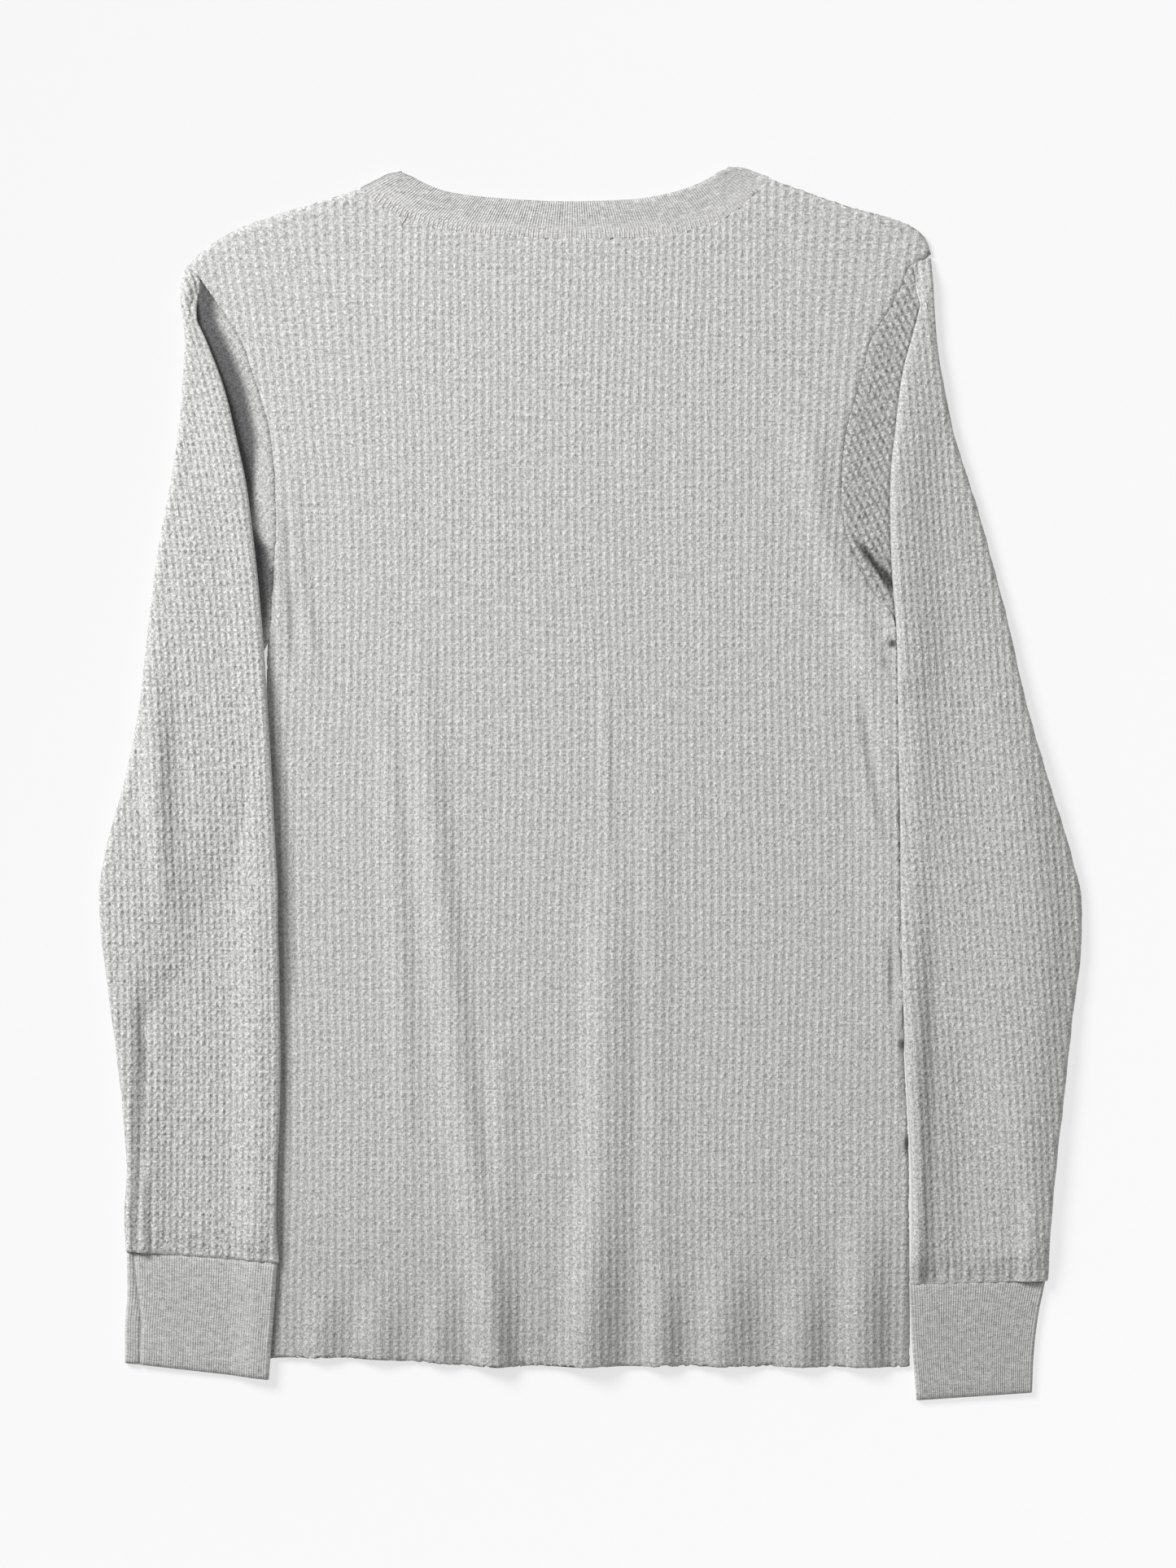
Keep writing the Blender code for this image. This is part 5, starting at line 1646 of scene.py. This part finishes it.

# %% [markdown]
# ## Tie the pieces to the frame
# Every piece rides on the one body and stands for its solid, which is hidden.

# %% Ride and replace
def cloth_piece(piece, node, with_pieces=()):
    """Ties a piece, and the small pieces that belong to it, to the frame, and hides its solid."""
    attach(piece, "root")
    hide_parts(node)
    for other in with_pieces:
        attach(other, "root")
    print(piece.name, "stands for", node)


cloth_piece(FRONT, "front_panel")
cloth_piece(BACK, "back_panel")
cloth_piece(SLEEVE_LEFT, "sleeve_left", [UNDER_LEFT])
cloth_piece(
    SLEEVE_RIGHT, "sleeve_right", [UNDER_RIGHT]
)
cloth_piece(NECKBAND, "neckband", [NECK_STITCHES, LOOSE])
cloth_piece(CUFF_LEFT, "cuff_left")
cloth_piece(CUFF_RIGHT, "cuff_right")

# %% [markdown]
# ## Floor, light and camera
# The top lies on a white table and is seen straight down. One soft light from the upper left draws the
# ribs and leaves a short shadow at the right of each edge, and an even white sky fills it. The table has
# to look equally white all over, so its paint knows how bright the lamp is at each place, and glows with
# what is missing. The table and the lamp are large things, so their sizes are in metres.

# %% The floor
FLOOR_WHITE, FLOOR_SHOWN = 0.36, 0.955
FLOOR_HALF = 4
SKY = 0.38
LAMP = np.array([-1.6, 1.34, 1.57])
LAMP_POWER, LAMP_SIZE = 68.5, 1.15


def vector_maths(tree, operation, first, second):
    node = fed_node(tree, "ShaderNodeVectorMath", {"operation": operation})
    for socket, value in zip(node.inputs, (first, second)):
        feed(tree, socket, value)
    return node.outputs["Value" if operation == "DOT_PRODUCT" else "Vector"]


def lamp_light(tree):
    """How bright the lamp makes a white floor at a place, as a value of nodes."""
    place = tree.nodes.new("ShaderNodeNewGeometry").outputs["Position"]
    lamp = tuple(LAMP)
    towards = vector_maths(tree, "SUBTRACT", lamp, place)
    square = vector_maths(tree, "DOT_PRODUCT", towards, towards)
    facing = vector_maths(tree, "DOT_PRODUCT", towards, lamp)
    strength = LAMP_POWER / np.pi**2 * LAMP[2] / np.linalg.norm(LAMP)
    return maths(tree, "DIVIDE", times(tree, facing, strength), maths(tree, "POWER", square, 2.0))


def floor_paint():
    """White that reflects little and glows with the rest, most where the lamp is weakest."""
    paint, tree, shader = new_material(
        "floor_white", Roughness=1.0, Specular_IOR_Level=0.0, Emission_Strength=1.0
    )
    light = plus(tree, lamp_light(tree), SKY)
    white = maths(tree, "MINIMUM", maths(tree, "DIVIDE", FLOOR_SHOWN, light), FLOOR_WHITE)
    missing = minus(tree, FLOOR_SHOWN, times(tree, light, white))
    for value, label in ((white, "Base Color"), (missing, "Emission Color")):
        grey = fed_node(tree, "ShaderNodeCombineColor", Red=value, Green=value, Blue=value)
        feed(tree, shader[label], grey.outputs[0])
    return paint


def white_floor():
    mesh = bpy.data.meshes.new("floor")
    corners = [(x * FLOOR_HALF, y * FLOOR_HALF, 0) for x, y in ((-1, -1), (1, -1), (1, 1), (-1, 1))]
    mesh.from_pydata(corners, [], [(0, 1, 2, 3)])
    mesh.materials.append(floor_paint())
    floor = in_scene("floor", mesh)
    print("the floor is", 2 * FLOOR_HALF, "m wide")


white_floor()

# %% [markdown]
# ## Light and camera
# The size of a lamp sets how soft the edge of a shadow is. This disk is over a metre wide, so nothing here
# has a hard shadow. The camera stands far away and has a long lens, so that it looks straight down on
# nearly all of the cloth.

# %% Light and camera
def white_sky():
    sky = bpy.data.worlds.new("sky")
    sky.use_nodes = True
    sky.node_tree.nodes["Background"].inputs["Color"].default_value = (1, 1, 1, 1)
    sky.node_tree.nodes["Background"].inputs["Strength"].default_value = SKY
    bpy.context.scene.world = sky


def soft_lamp():
    lamp = bpy.data.lights.new("key", "AREA")
    lamp.shape = "DISK"
    lamp.size = LAMP_SIZE
    lamp.energy = LAMP_POWER
    light = in_scene("key", lamp)
    light.location = LAMP
    light.rotation_euler = Vector(-LAMP).to_track_quat("-Z", "Y").to_euler()
    print("lamp at", LAMP, "m")


def camera():
    """The photograph's frame is 1445 by 1926 pixels, and a pixel is 0.478 mm on the cloth."""
    pixel, wide, high = 0.478, 1445, 1926
    middle_x, middle_y = 725.5, 961.0
    distance = 2600.0
    view = bpy.data.cameras.new("camera")
    view.lens = view.sensor_width / 2 / (high * pixel / 2 / distance)
    made = in_scene("camera", view)
    x, y = (wide / 2 - middle_x) * pixel, (middle_y - high / 2) * pixel
    made.location = (x * MM, y * MM, (distance + FLAP_LAYER) * MM)
    bpy.context.scene.camera = made
    print("lens of", round(view.lens), "mm")


white_sky()
soft_lamp()
camera()
bpy.context.scene.view_settings.view_transform = "Standard"
